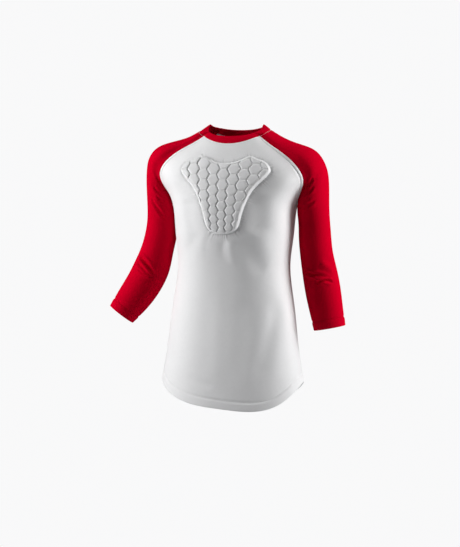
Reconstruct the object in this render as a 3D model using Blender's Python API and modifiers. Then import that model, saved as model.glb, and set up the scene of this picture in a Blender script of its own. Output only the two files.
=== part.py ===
"""Padded compression shirt: raglan cut, three-quarter sleeves, crew neckband, moulded chest pad.

The shirt keeps the hollow form it has when worn.  Metres, +Z up, front towards -Y, the wearer's
left towards +X.  The origin is the middle of the neck opening at the height of its sides.

One coarse cage of quads runs over the whole shirt.  Its sections come from the tables below, and
its points are eased until the smooth surface passes through those sections.  The smooth surface is
then parted into its sewn pieces along the seams, and each piece gets its cloth thickness inwards.
"""
import bpy
import bmesh
from collections import namedtuple
from math import acos, cos, pi, radians, sin, sqrt

import numpy as np

# ---------------------------------------------------------------- sizes (metres)
CLOTH = 0.0012          # jersey of the body and the sleeves
BAND_CLOTH = 0.0020     # neckband, folded double
SEAM_GAP = 0.0003       # clear space between two pieces at their seam
PAD_CLEAR = 0.0005      # chest pad's underside over the front panel, at its edge
PAD_ARCH = 0.0008       # how much further its middle stands off
PAD_DEPTH = 0.0075      # chest pad's foam
PAD_EDGE = 0.0030       # how far its top edge is rounded over

FRONT_COLS = 8          # quads across the front, across the back and round a sleeve
BACK_COLS = 8
SLEEVE_COLS = 8
SMOOTH_LEVEL = 1

# ---------------------------------------------------------------- sections
# Yoke rows, neck seam (0) down to the underarm (6); +X half, mirrored for the other side.
# front_*: front raglan seam.  top_*: ridge of the shoulder.  back_*: back raglan seam.
# girth: half the sleeve's thickness front to back.
Yoke = namedtuple("Yoke", "front_x front_y front_z top_x top_y top_z back_x back_y back_z girth")
YOKE = [
    Yoke(0.070, -0.039, -0.030,  0.086, 0.006, -0.013,  0.060, 0.052, -0.018,  0.0480),
    Yoke(0.096, -0.048, -0.048,  0.115, 0.009, -0.029,  0.084, 0.070, -0.038,  0.0600),
    Yoke(0.124, -0.055, -0.065,  0.147, 0.011, -0.041,  0.108, 0.085, -0.060,  0.0710),
    Yoke(0.150, -0.060, -0.084,  0.179, 0.012, -0.051,  0.132, 0.095, -0.085,  0.0800),
    Yoke(0.171, -0.060, -0.107,  0.206, 0.013, -0.067,  0.153, 0.094, -0.114,  0.0790),
    Yoke(0.180, -0.044, -0.141,  0.226, 0.013, -0.100,  0.168, 0.072, -0.150,  0.0640),
    Yoke(0.158,  0.006, -0.190,  0.233, 0.012, -0.145,  0.158, 0.006, -0.190,  0.0480),
]

# Middle of the front and of the back on the same rows.  turn: how far round its ellipse a row has
# come where it meets the raglan seam, in degrees.  flat: above 1 the row is flatter across its
# middle than an ellipse.
Middle = namedtuple("Middle", "front_y front_z front_turn back_y back_z back_turn flat")
MIDDLE = [
    Middle(-0.075, -0.050, 80,  0.070, -0.029, 70,  1.15),
    Middle(-0.085, -0.069, 66,  0.086, -0.047, 60,  1.15),
    Middle(-0.095, -0.091, 60,  0.100, -0.070, 56,  1.15),
    Middle(-0.104, -0.115, 57,  0.110, -0.098, 55,  1.15),
    Middle(-0.112, -0.140, 58,  0.117, -0.127, 57,  1.15),
    Middle(-0.118, -0.166, 64,  0.120, -0.158, 64,  1.18),
    Middle(-0.121, -0.193, 90,  0.119, -0.193, 90,  1.36),
]
SHOULDER_SLANT = 0.015  # the wearer's left shoulder is carried lower, a metre's worth per metre

# The neckband's free edge, all round: half width, front and back.
BAND_HALF = 0.0695
# fall: below 1 the edge drops away soon after the shoulder, above 1 it drops late.
Band = namedtuple("Band", "y z fall")
BAND_FRONT = Band(-0.0640, -0.0325, 0.72)
BAND_SIDE = Band(0.0040, 0.0000, 1.0)
BAND_BACK = Band(0.0620, -0.0110, 1.3)

# Body rings under the arms.  side_*, front_* and back_*: where the ring passes the side seam and
# the middles; the last row is the hem, a rounded shirt tail.
Body = namedtuple("Body", "half side_y side_z front_y front_z back_y back_z flat")
BODY = [
    Body(0.1510, 0.005, -0.226, -0.121, -0.232,  0.114, -0.230,  1.30),
    Body(0.1470, 0.004, -0.280, -0.115, -0.288,  0.103, -0.286,  1.22),
    Body(0.1415, 0.002, -0.340, -0.107, -0.351,  0.094, -0.351,  1.16),
    Body(0.1470, 0.000, -0.400, -0.104, -0.417,  0.094, -0.418,  1.15),
    Body(0.1560, 0.000, -0.460, -0.107, -0.484,  0.102, -0.486,  1.15),
    Body(0.1630, 0.000, -0.520, -0.113, -0.552,  0.112, -0.556,  1.15),
    Body(0.1710, 0.000, -0.578, -0.118, -0.620,  0.119, -0.628,  1.15),
    Body(0.1805, 0.000, -0.634, -0.121, -0.688,  0.122, -0.702,  1.15),
]
TAIL = 4.0              # how squarely the hem turns up at the side seams
HEM_SLANT = 0.065       # the front hem hangs lower towards the wearer's left

# Sleeve rings below the underarm: middle of the ring, half its width across (side) and front to
# back (deep), and how far its plane still leans towards the shoulder (degrees).
Ring = namedtuple("Ring", "x y z side deep lean")
SLEEVE_LEFT = [
    Ring(0.1965, 0.016, -0.222,  0.0405, 0.0455, 18),
    Ring(0.1990, 0.021, -0.268,  0.0400, 0.0440,  6),
    Ring(0.2030, 0.028, -0.315,  0.0405, 0.0435,  0),
    Ring(0.2110, 0.034, -0.361,  0.0430, 0.0450, -2),
    Ring(0.2195, 0.037, -0.407,  0.0440, 0.0440,  0),
    Ring(0.2285, 0.037, -0.453,  0.0420, 0.0410,  0),
    Ring(0.2385, 0.035, -0.499,  0.0390, 0.0385,  0),
]
SLEEVE_RIGHT = [
    Ring(0.1920, 0.012, -0.222,  0.0405, 0.0455, 18),
    Ring(0.1940, 0.010, -0.268,  0.0400, 0.0440,  6),
    Ring(0.2035, 0.005, -0.316,  0.0410, 0.0435,  0),
    Ring(0.2165, 0.000, -0.361,  0.0455, 0.0450, -2),
    Ring(0.2360, -0.008, -0.404, 0.0455, 0.0450,  0),
    Ring(0.2610, -0.018, -0.444, 0.0425, 0.0425,  0),
    Ring(0.2870, -0.029, -0.481, 0.0355, 0.0375,  0),
]

# Outline of the chest pad, right half, from the notch at its top down to its foot.
Edge = namedtuple("Edge", "x z")
PAD_OUTLINE = [
    Edge(0.000, -0.0980), Edge(0.013, -0.0975), Edge(0.030, -0.0925), Edge(0.044, -0.0865),
    Edge(0.055, -0.0815), Edge(0.064, -0.0820), Edge(0.078, -0.0875), Edge(0.094, -0.0935),
    Edge(0.105, -0.1030), Edge(0.1100, -0.1130), Edge(0.1085, -0.1210), Edge(0.097, -0.1350),
    Edge(0.082, -0.1500), Edge(0.068, -0.1690), Edge(0.057, -0.1920), Edge(0.049, -0.2150),
    Edge(0.0430, -0.2390), Edge(0.0370, -0.2530), Edge(0.026, -0.2620), Edge(0.013, -0.2665),
    Edge(0.000, -0.2675),
]
PAD_MIDDLE = Edge(0.000, -0.1400)
PAD_RINGS = [1.0, 0.86, 0.70, 0.53, 0.35, 0.17]

# ---------------------------------------------------------------- looks of the solids
Cloth = namedtuple("Cloth", "red green blue rough")
WHITE_KNIT = Cloth(0.78, 0.78, 0.79, 0.62)
RED_KNIT = Cloth(0.46, 0.004, 0.022, 0.55)
WHITE_PAD = Cloth(0.80, 0.80, 0.81, 0.50)


def vec(*xyz):
    return np.array(xyz, dtype=float)


def unit(v):
    return v / max(np.linalg.norm(v), 1e-12)


# ---------------------------------------------------------------- sections worked out
def span(end, middle_y, middle_z, turn, cols, flat, tail=2.0, slant=0.0):
    """Points of a row across the front or back: from -X to +X through its middle."""
    beta = radians(turn)
    pts = []
    for j in range(cols + 1):
        t = -beta + 2 * beta * j / cols
        part = (1 - cos(t)) / (1 - cos(beta))
        rise = abs(sin(t) / sin(beta)) ** tail
        x = end[0] * sin(t) / sin(beta)
        y = middle_y + (end[1] - middle_y) * part ** flat
        z = middle_z + (end[2] - middle_z) * rise - slant * x * (1 - rise)
        pts.append(vec(x, y, z))
    return pts


def over_shoulder(row):
    """Points of a yoke row over the +X shoulder: front seam, ridge, back seam."""
    f = vec(row.front_x, row.front_y, row.front_z)
    t = vec(row.top_x, row.top_y, row.top_z)
    b = vec(row.back_x, row.back_y, row.back_z)
    middle = (f + b) / 2
    half = np.linalg.norm(b - f) / 2
    if half > 1e-6:
        across = (f - b) / (2 * half)
    else:
        across = vec(0, -1, 0)
    up = t - middle
    up = up - across * up.dot(across)
    lift = np.linalg.norm(up)
    up = up / lift
    alpha = acos(min(1.0, half / row.girth))
    rise = lift / (1 + sin(alpha))
    centre = middle + up * (lift - rise)
    shift = across * (t - middle).dot(across)
    pts = []
    for j in range(SLEEVE_COLS + 1):
        a = -alpha + (pi + 2 * alpha) * j / SLEEVE_COLS
        p = centre + across * row.girth * cos(a) + up * rise * sin(a)
        p = p + shift * max(0.0, sin(a)) ** 2
        pts.append(p)
    pts[0], pts[-1] = f, b
    return pts


def sleeve_rings(table, first_middle):
    """Rings of a sleeve on the +X side, each from the underarm seam round by the front."""
    mids = [first_middle] + [vec(r.x, r.y, r.z) for r in table]
    rings = []
    for k, r in enumerate(table):
        nxt = mids[min(k + 2, len(mids) - 1)]
        axis = unit(nxt - mids[k])
        out = vec(1, 0, 0)
        out = unit(out - axis * out.dot(axis))
        fore = unit(np.cross(out, axis))
        if fore[1] > 0:
            fore = -fore
        lean = radians(r.lean)
        out = unit(out * cos(lean) - axis * sin(lean))
        ring = []
        for j in range(SLEEVE_COLS):
            a = -pi / 2 + 2 * pi * j / SLEEVE_COLS
            ring.append(mids[k + 1] + out * r.side * sin(a) + fore * r.deep * cos(a))
        rings.append(ring)
    return rings


def neck_edge():
    """The neckband's free edge, on the same columns as the neck seam."""
    pts = []
    seam = neck_seam()
    for p in seam:
        a = np.arctan2(p[0] / 0.088, -(p[1] - 0.004) / 0.074)
        c, s = cos(a), sin(a)
        end = BAND_FRONT if c > 0 else BAND_BACK
        y = BAND_SIDE.y + (end.y - BAND_SIDE.y) * abs(c)
        z = BAND_SIDE.z + (end.z - BAND_SIDE.z) * abs(c) ** end.fall
        pts.append(vec(BAND_HALF * s, y, z))
    return pts


def loop_row(k):
    """One closed row of the yoke: front -X to +X, left shoulder, back, right shoulder."""
    y, m = YOKE[k], MIDDLE[k]
    front = span(vec(y.front_x, y.front_y, y.front_z), m.front_y, m.front_z, m.front_turn,
                 FRONT_COLS, m.flat)
    back = span(vec(y.back_x, y.back_y, y.back_z), m.back_y, m.back_z, m.back_turn,
                BACK_COLS, m.flat)
    over = over_shoulder(y)
    mirror = [p * vec(-1, 1, 1) for p in reversed(over)]
    row = front[:-1] + over[:-1] + back[::-1][:-1] + mirror[:-1]
    share = min(1.0, k / 2) * (1.0 if k < 6 else 0.5)
    return [p - vec(0, 0, SHOULDER_SLANT * share * p[0]) for p in row]


def neck_seam():
    return loop_row(0)


def body_row(row):
    end = vec(row.half, row.side_y, row.side_z)
    slant = HEM_SLANT * max(0.0, (row.front_z - BODY[0].front_z) / (BODY[-1].front_z - BODY[0].front_z))
    front = span(end, row.front_y, row.front_z, 90, FRONT_COLS, row.flat, TAIL, slant)
    back = span(end, row.back_y, row.back_z, 90, BACK_COLS, row.flat, TAIL)
    return front[:-1] + back[::-1][:-1]


# ---------------------------------------------------------------- cage
PIECES = ["front_panel", "back_panel", "sleeve_left", "sleeve_right", "neckband"]


def build_cage():
    """Cage points, quads and the piece of each quad."""
    nf, ns, nb = FRONT_COLS, SLEEVE_COLS, BACK_COLS
    around = nf + ns + nb + ns
    under_left, under_right = nf, 0
    points, index, quads, piece = [], {}, [], []

    def put(key, p):
        if key not in index:
            index[key] = len(points)
            points.append(p)
        return index[key]

    def yoke_key(k, i):
        i %= around
        if k == 6:
            if nf < i < nf + ns:
                return ("left", 6, i - nf)
            if i >= nf + ns + nb:
                return ("right", 6, i - (nf + ns + nb)) if i > nf + ns + nb else ("body", 6, 0)
            if i >= nf + ns:
                return ("body", 6, i - ns)
            return ("body", 6, i)
        return ("yoke", k, i)

    def side_of(i):
        i %= around
        if i < nf:
            return "front_panel"
        if i < nf + ns:
            return "sleeve_left"
        if i < nf + ns + nb:
            return "back_panel"
        return "sleeve_right"

    for i, p in enumerate(neck_edge()):
        put(("yoke", -1, i), p)
    for k in range(7):
        for i, p in enumerate(loop_row(k)):
            put(yoke_key(k, i), p)
    for k in range(-1, 6):
        for i in range(around):
            q = [(k, i), (k + 1, i), (k + 1, i + 1), (k, i + 1)]
            quads.append([index[yoke_key(*c)] for c in q])
            piece.append("neckband" if k < 0 else side_of(i))

    rows = nf + nb
    for r, row in enumerate(BODY):
        for i, p in enumerate(body_row(row)):
            put(("body", 7 + r, i), p)
    for k in range(6, 6 + len(BODY)):
        for i in range(rows):
            a, b = i, (i + 1) % rows
            q = [("body", k, a), ("body", k + 1, a), ("body", k + 1, b), ("body", k, b)]
            quads.append([index[c] for c in q])
            piece.append("front_panel" if i < nf else "back_panel")

    over = over_shoulder(YOKE[6])
    first = (over[0] + over[SLEEVE_COLS // 2]) / 2
    for name, table, corner in (("left", SLEEVE_LEFT, under_left), ("right", SLEEVE_RIGHT, under_right)):
        flip = -1 if name == "right" else 1
        for r, ring in enumerate(sleeve_rings(table, first)):
            if flip < 0:
                ring = [ring[-j % ns] * vec(-1, 1, 1) for j in range(ns)]
            for j, p in enumerate(ring):
                put((name, 7 + r, j), p)
        for k in range(6, 6 + len(table)):
            for j in range(ns):
                cell = []
                for kk, jj in ((k, j), (k + 1, j), (k + 1, j + 1), (k, j + 1)):
                    jj %= ns
                    key = (name, kk, jj)
                    if kk == 6 and jj == 0:
                        key = ("body", 6, corner)
                    cell.append(index[key])
                quads.append(cell)
                piece.append("sleeve_" + name)
    return np.array(points), quads, piece


def ease(points, quads, rounds=60):
    """Move the cage until its smooth surface passes through the given points."""
    n = len(points)
    edges = {}
    for q in quads:
        for a, b in zip(q, q[1:] + q[:1]):
            key = (min(a, b), max(a, b))
            edges[key] = edges.get(key, 0) + 1
    rim = [[] for _ in range(n)]
    near = [[] for _ in range(n)]
    for (a, b), uses in edges.items():
        near[a].append(b)
        near[b].append(a)
        if uses == 1:
            rim[a].append(b)
            rim[b].append(a)
    far = [[] for _ in range(n)]
    for q in quads:
        for j in range(4):
            far[q[j]].append(q[(j + 2) % 4])
    weights = np.zeros((n, n))
    for i in range(n):
        if rim[i]:
            weights[i, i] = 4 / 6
            for b in rim[i]:
                weights[i, b] += 1 / 6
        else:
            v = len(near[i])
            total = v * (v + 5)
            weights[i, i] = v * v / total
            for b in near[i]:
                weights[i, b] += 4 / total
            for b in far[i]:
                weights[i, b] += 1 / total
    cage = points.copy()
    for _ in range(rounds):
        cage += points - weights @ cage
    return cage


# ---------------------------------------------------------------- Blender side
def clear_scene():
    for ob in list(bpy.data.objects):
        bpy.data.objects.remove(ob, do_unlink=True)


def make_material(name, cloth):
    mat = bpy.data.materials.new(name)
    mat.use_nodes = True
    bsdf = mat.node_tree.nodes["Principled BSDF"]
    bsdf.inputs["Base Color"].default_value = (cloth.red, cloth.green, cloth.blue, 1)
    bsdf.inputs["Roughness"].default_value = cloth.rough
    bsdf.inputs["Metallic"].default_value = 0.0
    mat.diffuse_color = (cloth.red, cloth.green, cloth.blue, 1)
    return mat


def smooth_surface(points, quads, piece, level):
    """The cage under a Subdivision Surface modifier, read back as points, faces, normals, pieces."""
    mesh = bpy.data.meshes.new("shirt_cage")
    mesh.from_pydata([tuple(p) for p in points], [], quads)
    for name in PIECES:
        mesh.materials.append(bpy.data.materials.new("cage_" + name))
    for face, name in zip(mesh.polygons, piece):
        face.material_index = PIECES.index(name)
    ob = bpy.data.objects.new("shirt_cage", mesh)
    bpy.context.scene.collection.objects.link(ob)
    sub = ob.modifiers.new("smooth", "SUBSURF")
    sub.levels = sub.render_levels = level
    sub.boundary_smooth = "ALL"
    done = bpy.data.meshes.new_from_object(ob.evaluated_get(bpy.context.evaluated_depsgraph_get()))
    pts = np.array([tuple(v.co) for v in done.vertices])
    faces = [list(p.vertices) for p in done.polygons]
    owner = [PIECES[p.material_index] for p in done.polygons]
    bpy.data.objects.remove(ob, do_unlink=True)
    normals = np.zeros_like(pts)
    for f in faces:
        a, b, c, d = (pts[i] for i in f)
        n = np.cross(c - a, d - b)
        for i in f:
            normals[i] += n
    normals /= np.linalg.norm(normals, axis=1)[:, None]
    return pts, faces, normals, owner


def piece_shell(name, pts, faces, normals, owner, depth, collection, material):
    """One sewn piece: its part of the surface, drawn back from its seams, with cloth thickness.

    Both sides of a seam use the whole surface's normals, so the two walls stay parallel there;
    in the valley of the underarm each uses its own, so the walls lean apart.
    """
    own = [f for f, o in zip(faces, owner) if o == name]
    use = sorted({i for f in own for i in f})
    shared = {i for f, o in zip(faces, owner) if o != name for i in f}
    edge_uses = {}
    for f in own:
        for a, b in zip(f, f[1:] + f[:1]):
            edge_uses.setdefault((min(a, b), max(a, b)), []).append((a, b))
    border = [uses[0] for uses in edge_uses.values() if len(uses) == 1]
    seam_edges = [e for e in border if e[0] in shared and e[1] in shared]

    pull = {}
    for a, b in seam_edges:
        along = unit(pts[b] - pts[a])
        for i in (a, b):
            inward = unit(np.cross(normals[i], along))
            pull.setdefault(i, []).append(inward)
    outer = {}
    for i in use:
        p = pts[i].copy()
        if i in pull:
            d = sum(pull[i])
            d = unit(d)
            reach = min(1.6, 1 / max(0.4, float(np.mean([d.dot(u) for u in pull[i]]))))
            p = p + d * SEAM_GAP / 2 * reach
        outer[i] = p

    body = ("front_panel", "back_panel")
    group = body if name in body else (name,)
    mine = {i: np.zeros(3) for i in use}
    for f, o in zip(faces, owner):
        if o in group:
            n = np.cross(pts[f[2]] - pts[f[0]], pts[f[3]] - pts[f[1]])
            for i in f:
                if i in mine:
                    mine[i] += n
    inward = {}
    for i in use:
        inward[i] = normals[i]
        if i in pull and unit(mine[i]).dot(normals[i]) < 0.999:
            if unit(mine[i]).dot(unit(sum(pull[i]))) < -0.02:
                inward[i] = unit(mine[i])

    bm = bmesh.new()
    top = {i: bm.verts.new(outer[i]) for i in use}
    under = {i: bm.verts.new(outer[i] - inward[i] * depth) for i in use}
    for f in own:
        bm.faces.new([top[i] for i in f])
        bm.faces.new([under[i] for i in reversed(f)])
    for a, b in border:
        bm.faces.new([top[b], top[a], under[a], under[b]])
    mesh = bpy.data.meshes.new(name)
    bm.to_mesh(mesh)
    bm.free()
    mesh.shade_smooth()
    mesh.materials.append(material)
    ob = bpy.data.objects.new(name, mesh)
    collection.objects.link(ob)
    return ob


# ---------------------------------------------------------------- chest pad
def pad_outline():
    """The pad's closed outline, clockwise seen from the front's outside, smoothed once."""
    half = [vec(e.x, 0, e.z) for e in PAD_OUTLINE]
    left = [p * vec(-1, 1, 1) for p in half[-2:0:-1]]
    return half + left


def over_front(panel_surface, x, z):
    """Point and normal of the front panel's outer face at x, z, seen from the front."""
    hit, where, normal, _ = panel_surface.ray_cast((x, -1.0, z), (0, 1, 0))
    return np.array(where), np.array(normal)


def front_bed(pts, faces, owner):
    """The front panel's own outer face, for the pad to lie on."""
    own = [f for f, o in zip(faces, owner) if o == "front_panel"]
    mesh = bpy.data.meshes.new("pad_bed")
    mesh.from_pydata([tuple(p) for p in pts], [], own)
    ob = bpy.data.objects.new("pad_bed", mesh)
    bpy.context.scene.collection.objects.link(ob)
    bpy.context.view_layer.update()
    return ob


def chest_pad(bed, collection, material):
    """A polar sheet laid on the front panel's points, moved out, thickened and rounded over."""
    ring = pad_outline()
    n = len(ring)
    mid = vec(PAD_MIDDLE.x, 0, PAD_MIDDLE.z)
    grown = 6          # the normals are taken as a mean over this many millimetres

    def place(p, out):
        here, _ = over_front(bed, p[0], p[2])
        total = vec(0, 0, 0)
        for dx, dz in ((-1, -1), (1, -1), (-1, 1), (1, 1)):
            total += over_front(bed, p[0] + dx * grown / 1000, p[2] + dz * grown / 1000)[1]
        return here + unit(total) * out

    inset = PAD_EDGE
    layers = []

    def ring_at(scale, shrink, out):
        pts = []
        for p in ring:
            d = p - mid
            length = np.linalg.norm(d)
            pts.append(place(mid + d / length * max(0.0, length * scale - shrink), out))
        return pts

    bottom = [ring_at(s, 0.0, PAD_CLEAR + PAD_ARCH * min(1.0, 5 * (1 - s))) for s in PAD_RINGS]
    wall = [ring_at(1.0, 0.0, PAD_CLEAR + PAD_DEPTH - 1.4 * inset),
            ring_at(1.0, inset * 0.35, PAD_CLEAR + PAD_DEPTH - 0.55 * inset)]
    top = [ring_at(1.0, inset * 1.3, PAD_CLEAR + PAD_DEPTH)]
    top += [ring_at(s, 0.0, PAD_CLEAR + PAD_DEPTH) for s in PAD_RINGS[1:]]
    layers = bottom[::-1] + wall + top

    bm = bmesh.new()
    rows = [[bm.verts.new(p) for p in layer] for layer in layers]
    for low, high in zip(rows, rows[1:]):
        for j in range(n):
            k = (j + 1) % n
            bm.faces.new([low[j], high[j], high[k], low[k]])
    foot = bm.verts.new(place(mid, PAD_CLEAR + PAD_ARCH))
    crown = bm.verts.new(place(mid, PAD_CLEAR + PAD_DEPTH))
    for j in range(n):
        k = (j + 1) % n
        bm.faces.new([foot, rows[0][j], rows[0][k]])
        bm.faces.new([crown, rows[-1][k], rows[-1][j]])
    bmesh.ops.recalc_face_normals(bm, faces=bm.faces)
    mesh = bpy.data.meshes.new("chest_pad")
    bm.to_mesh(mesh)
    bm.free()
    mesh.shade_smooth()
    mesh.materials.append(material)
    ob = bpy.data.objects.new("chest_pad", mesh)
    collection.objects.link(ob)
    return ob


def main():
    clear_scene()
    collection = bpy.data.collections.new("padded_compression_shirt")
    bpy.context.scene.collection.children.link(collection)
    finish = {
        "front_panel": make_material("front_white_knit", WHITE_KNIT),
        "back_panel": make_material("back_white_knit", WHITE_KNIT),
        "sleeve_left": make_material("left_red_knit", RED_KNIT),
        "sleeve_right": make_material("right_red_knit", RED_KNIT),
        "neckband": make_material("neckband_red_knit", RED_KNIT),
        "chest_pad": make_material("pad_white", WHITE_PAD),
    }
    points, quads, piece = build_cage()
    cage = ease(points, quads)
    fine_pts, fine_faces, _, fine_owner = smooth_surface(cage, quads, piece, SMOOTH_LEVEL + 2)
    pts, faces, normals, owner = smooth_surface(cage, quads, piece, SMOOTH_LEVEL)
    for name in PIECES:
        depth = BAND_CLOTH if name == "neckband" else CLOTH
        piece_shell(name, pts, faces, normals, owner, depth, collection, finish[name])
    bed = front_bed(fine_pts, fine_faces, fine_owner)
    chest_pad(bed, collection, finish["chest_pad"])
    bpy.data.objects.remove(bed, do_unlink=True)


main()
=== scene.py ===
"""Looks of the padded compression shirt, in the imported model's own frame.

Metres, +Z up, front towards -Y, the wearer's left towards +X.  The sections are the same as the
solids' own.  One smooth surface runs over the whole shirt, creases are pressed into it, and it is
then parted into its sewn pieces, each with a thin wall.  Stitching is laid on as thread.
"""
from collections import namedtuple
from math import acos, cos, pi, radians, sin, sqrt

import bpy
import numpy as np
from mathutils import Matrix, Vector
from mathutils.bvhtree import BVHTree
from mathutils.geometry import delaunay_2d_cdt


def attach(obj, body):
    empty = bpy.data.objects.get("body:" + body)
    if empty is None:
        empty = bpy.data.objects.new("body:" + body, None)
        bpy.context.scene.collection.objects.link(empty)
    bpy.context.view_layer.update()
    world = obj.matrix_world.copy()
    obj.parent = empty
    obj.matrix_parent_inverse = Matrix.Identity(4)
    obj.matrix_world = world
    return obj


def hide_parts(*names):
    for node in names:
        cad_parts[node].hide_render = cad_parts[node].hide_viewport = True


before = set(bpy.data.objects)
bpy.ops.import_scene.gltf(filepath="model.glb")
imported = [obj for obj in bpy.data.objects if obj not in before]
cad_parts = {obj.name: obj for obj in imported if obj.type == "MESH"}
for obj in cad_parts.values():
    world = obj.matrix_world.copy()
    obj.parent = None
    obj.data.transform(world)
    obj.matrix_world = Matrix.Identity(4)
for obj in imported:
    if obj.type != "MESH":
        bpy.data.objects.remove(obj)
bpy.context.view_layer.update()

# ---------------------------------------------------------------- sizes (metres)
CLOTH = 0.0012          # jersey of the body and the sleeves
BAND_CLOTH = 0.0021     # neckband, folded double
SEAM_GAP = 0.0003
FRONT_COLS = 8
BACK_COLS = 8
SLEEVE_COLS = 8
SMOOTH_LEVEL = 4

# ---------------------------------------------------------------- sections
# Yoke rows, neck seam (0) down to the underarm (6); +X half, mirrored for the other side.
# front_*: front raglan seam.  top_*: ridge of the shoulder.  back_*: back raglan seam.
# girth: half the sleeve's thickness front to back.
Yoke = namedtuple("Yoke", "front_x front_y front_z top_x top_y top_z back_x back_y back_z girth")
YOKE = [
    Yoke(0.070, -0.039, -0.030,  0.086, 0.006, -0.013,  0.060, 0.052, -0.018,  0.0480),
    Yoke(0.096, -0.048, -0.048,  0.115, 0.009, -0.029,  0.084, 0.070, -0.038,  0.0600),
    Yoke(0.124, -0.055, -0.065,  0.147, 0.011, -0.041,  0.108, 0.085, -0.060,  0.0710),
    Yoke(0.150, -0.060, -0.084,  0.179, 0.012, -0.051,  0.132, 0.095, -0.085,  0.0800),
    Yoke(0.171, -0.060, -0.107,  0.206, 0.013, -0.067,  0.153, 0.094, -0.114,  0.0790),
    Yoke(0.180, -0.044, -0.141,  0.226, 0.013, -0.100,  0.168, 0.072, -0.150,  0.0640),
    Yoke(0.158,  0.006, -0.190,  0.233, 0.012, -0.145,  0.158, 0.006, -0.190,  0.0480),
]

# Middle of the front and of the back on the same rows.  turn: how far round its ellipse a row has
# come where it meets the raglan seam, in degrees.  flat: above 1 the row is flatter across its
# middle than an ellipse.
Middle = namedtuple("Middle", "front_y front_z front_turn back_y back_z back_turn flat")
MIDDLE = [
    Middle(-0.075, -0.050, 80,  0.070, -0.029, 70,  1.15),
    Middle(-0.085, -0.069, 66,  0.086, -0.047, 60,  1.15),
    Middle(-0.095, -0.091, 60,  0.100, -0.070, 56,  1.15),
    Middle(-0.104, -0.115, 57,  0.110, -0.098, 55,  1.15),
    Middle(-0.112, -0.140, 58,  0.117, -0.127, 57,  1.15),
    Middle(-0.118, -0.166, 64,  0.120, -0.158, 64,  1.18),
    Middle(-0.121, -0.193, 90,  0.119, -0.193, 90,  1.36),
]
SHOULDER_SLANT = 0.015  # the wearer's left shoulder is carried lower, a metre's worth per metre

# The neckband's free edge, all round: half width, front and back.
BAND_HALF = 0.0695
# fall: below 1 the edge drops away soon after the shoulder, above 1 it drops late.
Band = namedtuple("Band", "y z fall")
BAND_FRONT = Band(-0.0640, -0.0325, 0.72)
BAND_SIDE = Band(0.0040, 0.0000, 1.0)
BAND_BACK = Band(0.0620, -0.0110, 1.3)

# Body rings under the arms.  side_*, front_* and back_*: where the ring passes the side seam and
# the middles; the last row is the hem, a rounded shirt tail.
Body = namedtuple("Body", "half side_y side_z front_y front_z back_y back_z flat")
BODY = [
    Body(0.1510, 0.005, -0.226, -0.121, -0.232,  0.114, -0.230,  1.30),
    Body(0.1470, 0.004, -0.280, -0.115, -0.288,  0.103, -0.286,  1.22),
    Body(0.1415, 0.002, -0.340, -0.107, -0.351,  0.094, -0.351,  1.16),
    Body(0.1470, 0.000, -0.400, -0.104, -0.417,  0.094, -0.418,  1.15),
    Body(0.1560, 0.000, -0.460, -0.107, -0.484,  0.102, -0.486,  1.15),
    Body(0.1630, 0.000, -0.520, -0.113, -0.552,  0.112, -0.556,  1.15),
    Body(0.1710, 0.000, -0.578, -0.118, -0.620,  0.119, -0.628,  1.15),
    Body(0.1805, 0.000, -0.634, -0.121, -0.688,  0.122, -0.702,  1.15),
]
TAIL = 4.0              # how squarely the hem turns up at the side seams
HEM_SLANT = 0.065       # the front hem hangs lower towards the wearer's left

# Sleeve rings below the underarm: middle of the ring, half its width across (side) and front to
# back (deep), and how far its plane still leans towards the shoulder (degrees).
Ring = namedtuple("Ring", "x y z side deep lean")
SLEEVE_LEFT = [
    Ring(0.1965, 0.016, -0.222,  0.0405, 0.0455, 18),
    Ring(0.1990, 0.021, -0.268,  0.0400, 0.0440,  6),
    Ring(0.2030, 0.028, -0.315,  0.0405, 0.0435,  0),
    Ring(0.2110, 0.034, -0.361,  0.0430, 0.0450, -2),
    Ring(0.2195, 0.037, -0.407,  0.0440, 0.0440,  0),
    Ring(0.2285, 0.037, -0.453,  0.0420, 0.0410,  0),
    Ring(0.2385, 0.035, -0.499,  0.0390, 0.0385,  0),
]
SLEEVE_RIGHT = [
    Ring(0.1920, 0.012, -0.222,  0.0405, 0.0455, 18),
    Ring(0.1940, 0.010, -0.268,  0.0400, 0.0440,  6),
    Ring(0.2035, 0.005, -0.316,  0.0410, 0.0435,  0),
    Ring(0.2165, 0.000, -0.361,  0.0455, 0.0450, -2),
    Ring(0.2360, -0.008, -0.404, 0.0455, 0.0450,  0),
    Ring(0.2610, -0.018, -0.444, 0.0425, 0.0425,  0),
    Ring(0.2870, -0.029, -0.481, 0.0355, 0.0375,  0),
]

# Outline of the chest pad, right half, from the notch at its top down to its foot.
Edge = namedtuple("Edge", "x z")
PAD_OUTLINE = [
    Edge(0.000, -0.0980), Edge(0.013, -0.0975), Edge(0.030, -0.0925), Edge(0.044, -0.0865),
    Edge(0.055, -0.0815), Edge(0.064, -0.0820), Edge(0.078, -0.0875), Edge(0.094, -0.0935),
    Edge(0.105, -0.1030), Edge(0.1100, -0.1130), Edge(0.1085, -0.1210), Edge(0.097, -0.1350),
    Edge(0.082, -0.1500), Edge(0.068, -0.1690), Edge(0.057, -0.1920), Edge(0.049, -0.2150),
    Edge(0.0430, -0.2390), Edge(0.0370, -0.2530), Edge(0.026, -0.2620), Edge(0.013, -0.2665),
    Edge(0.000, -0.2675),
]
PAD_MIDDLE = Edge(0.000, -0.1400)


def vec(*xyz):
    return np.array(xyz, dtype=float)


def unit(v):
    return v / max(np.linalg.norm(v), 1e-12)


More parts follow.
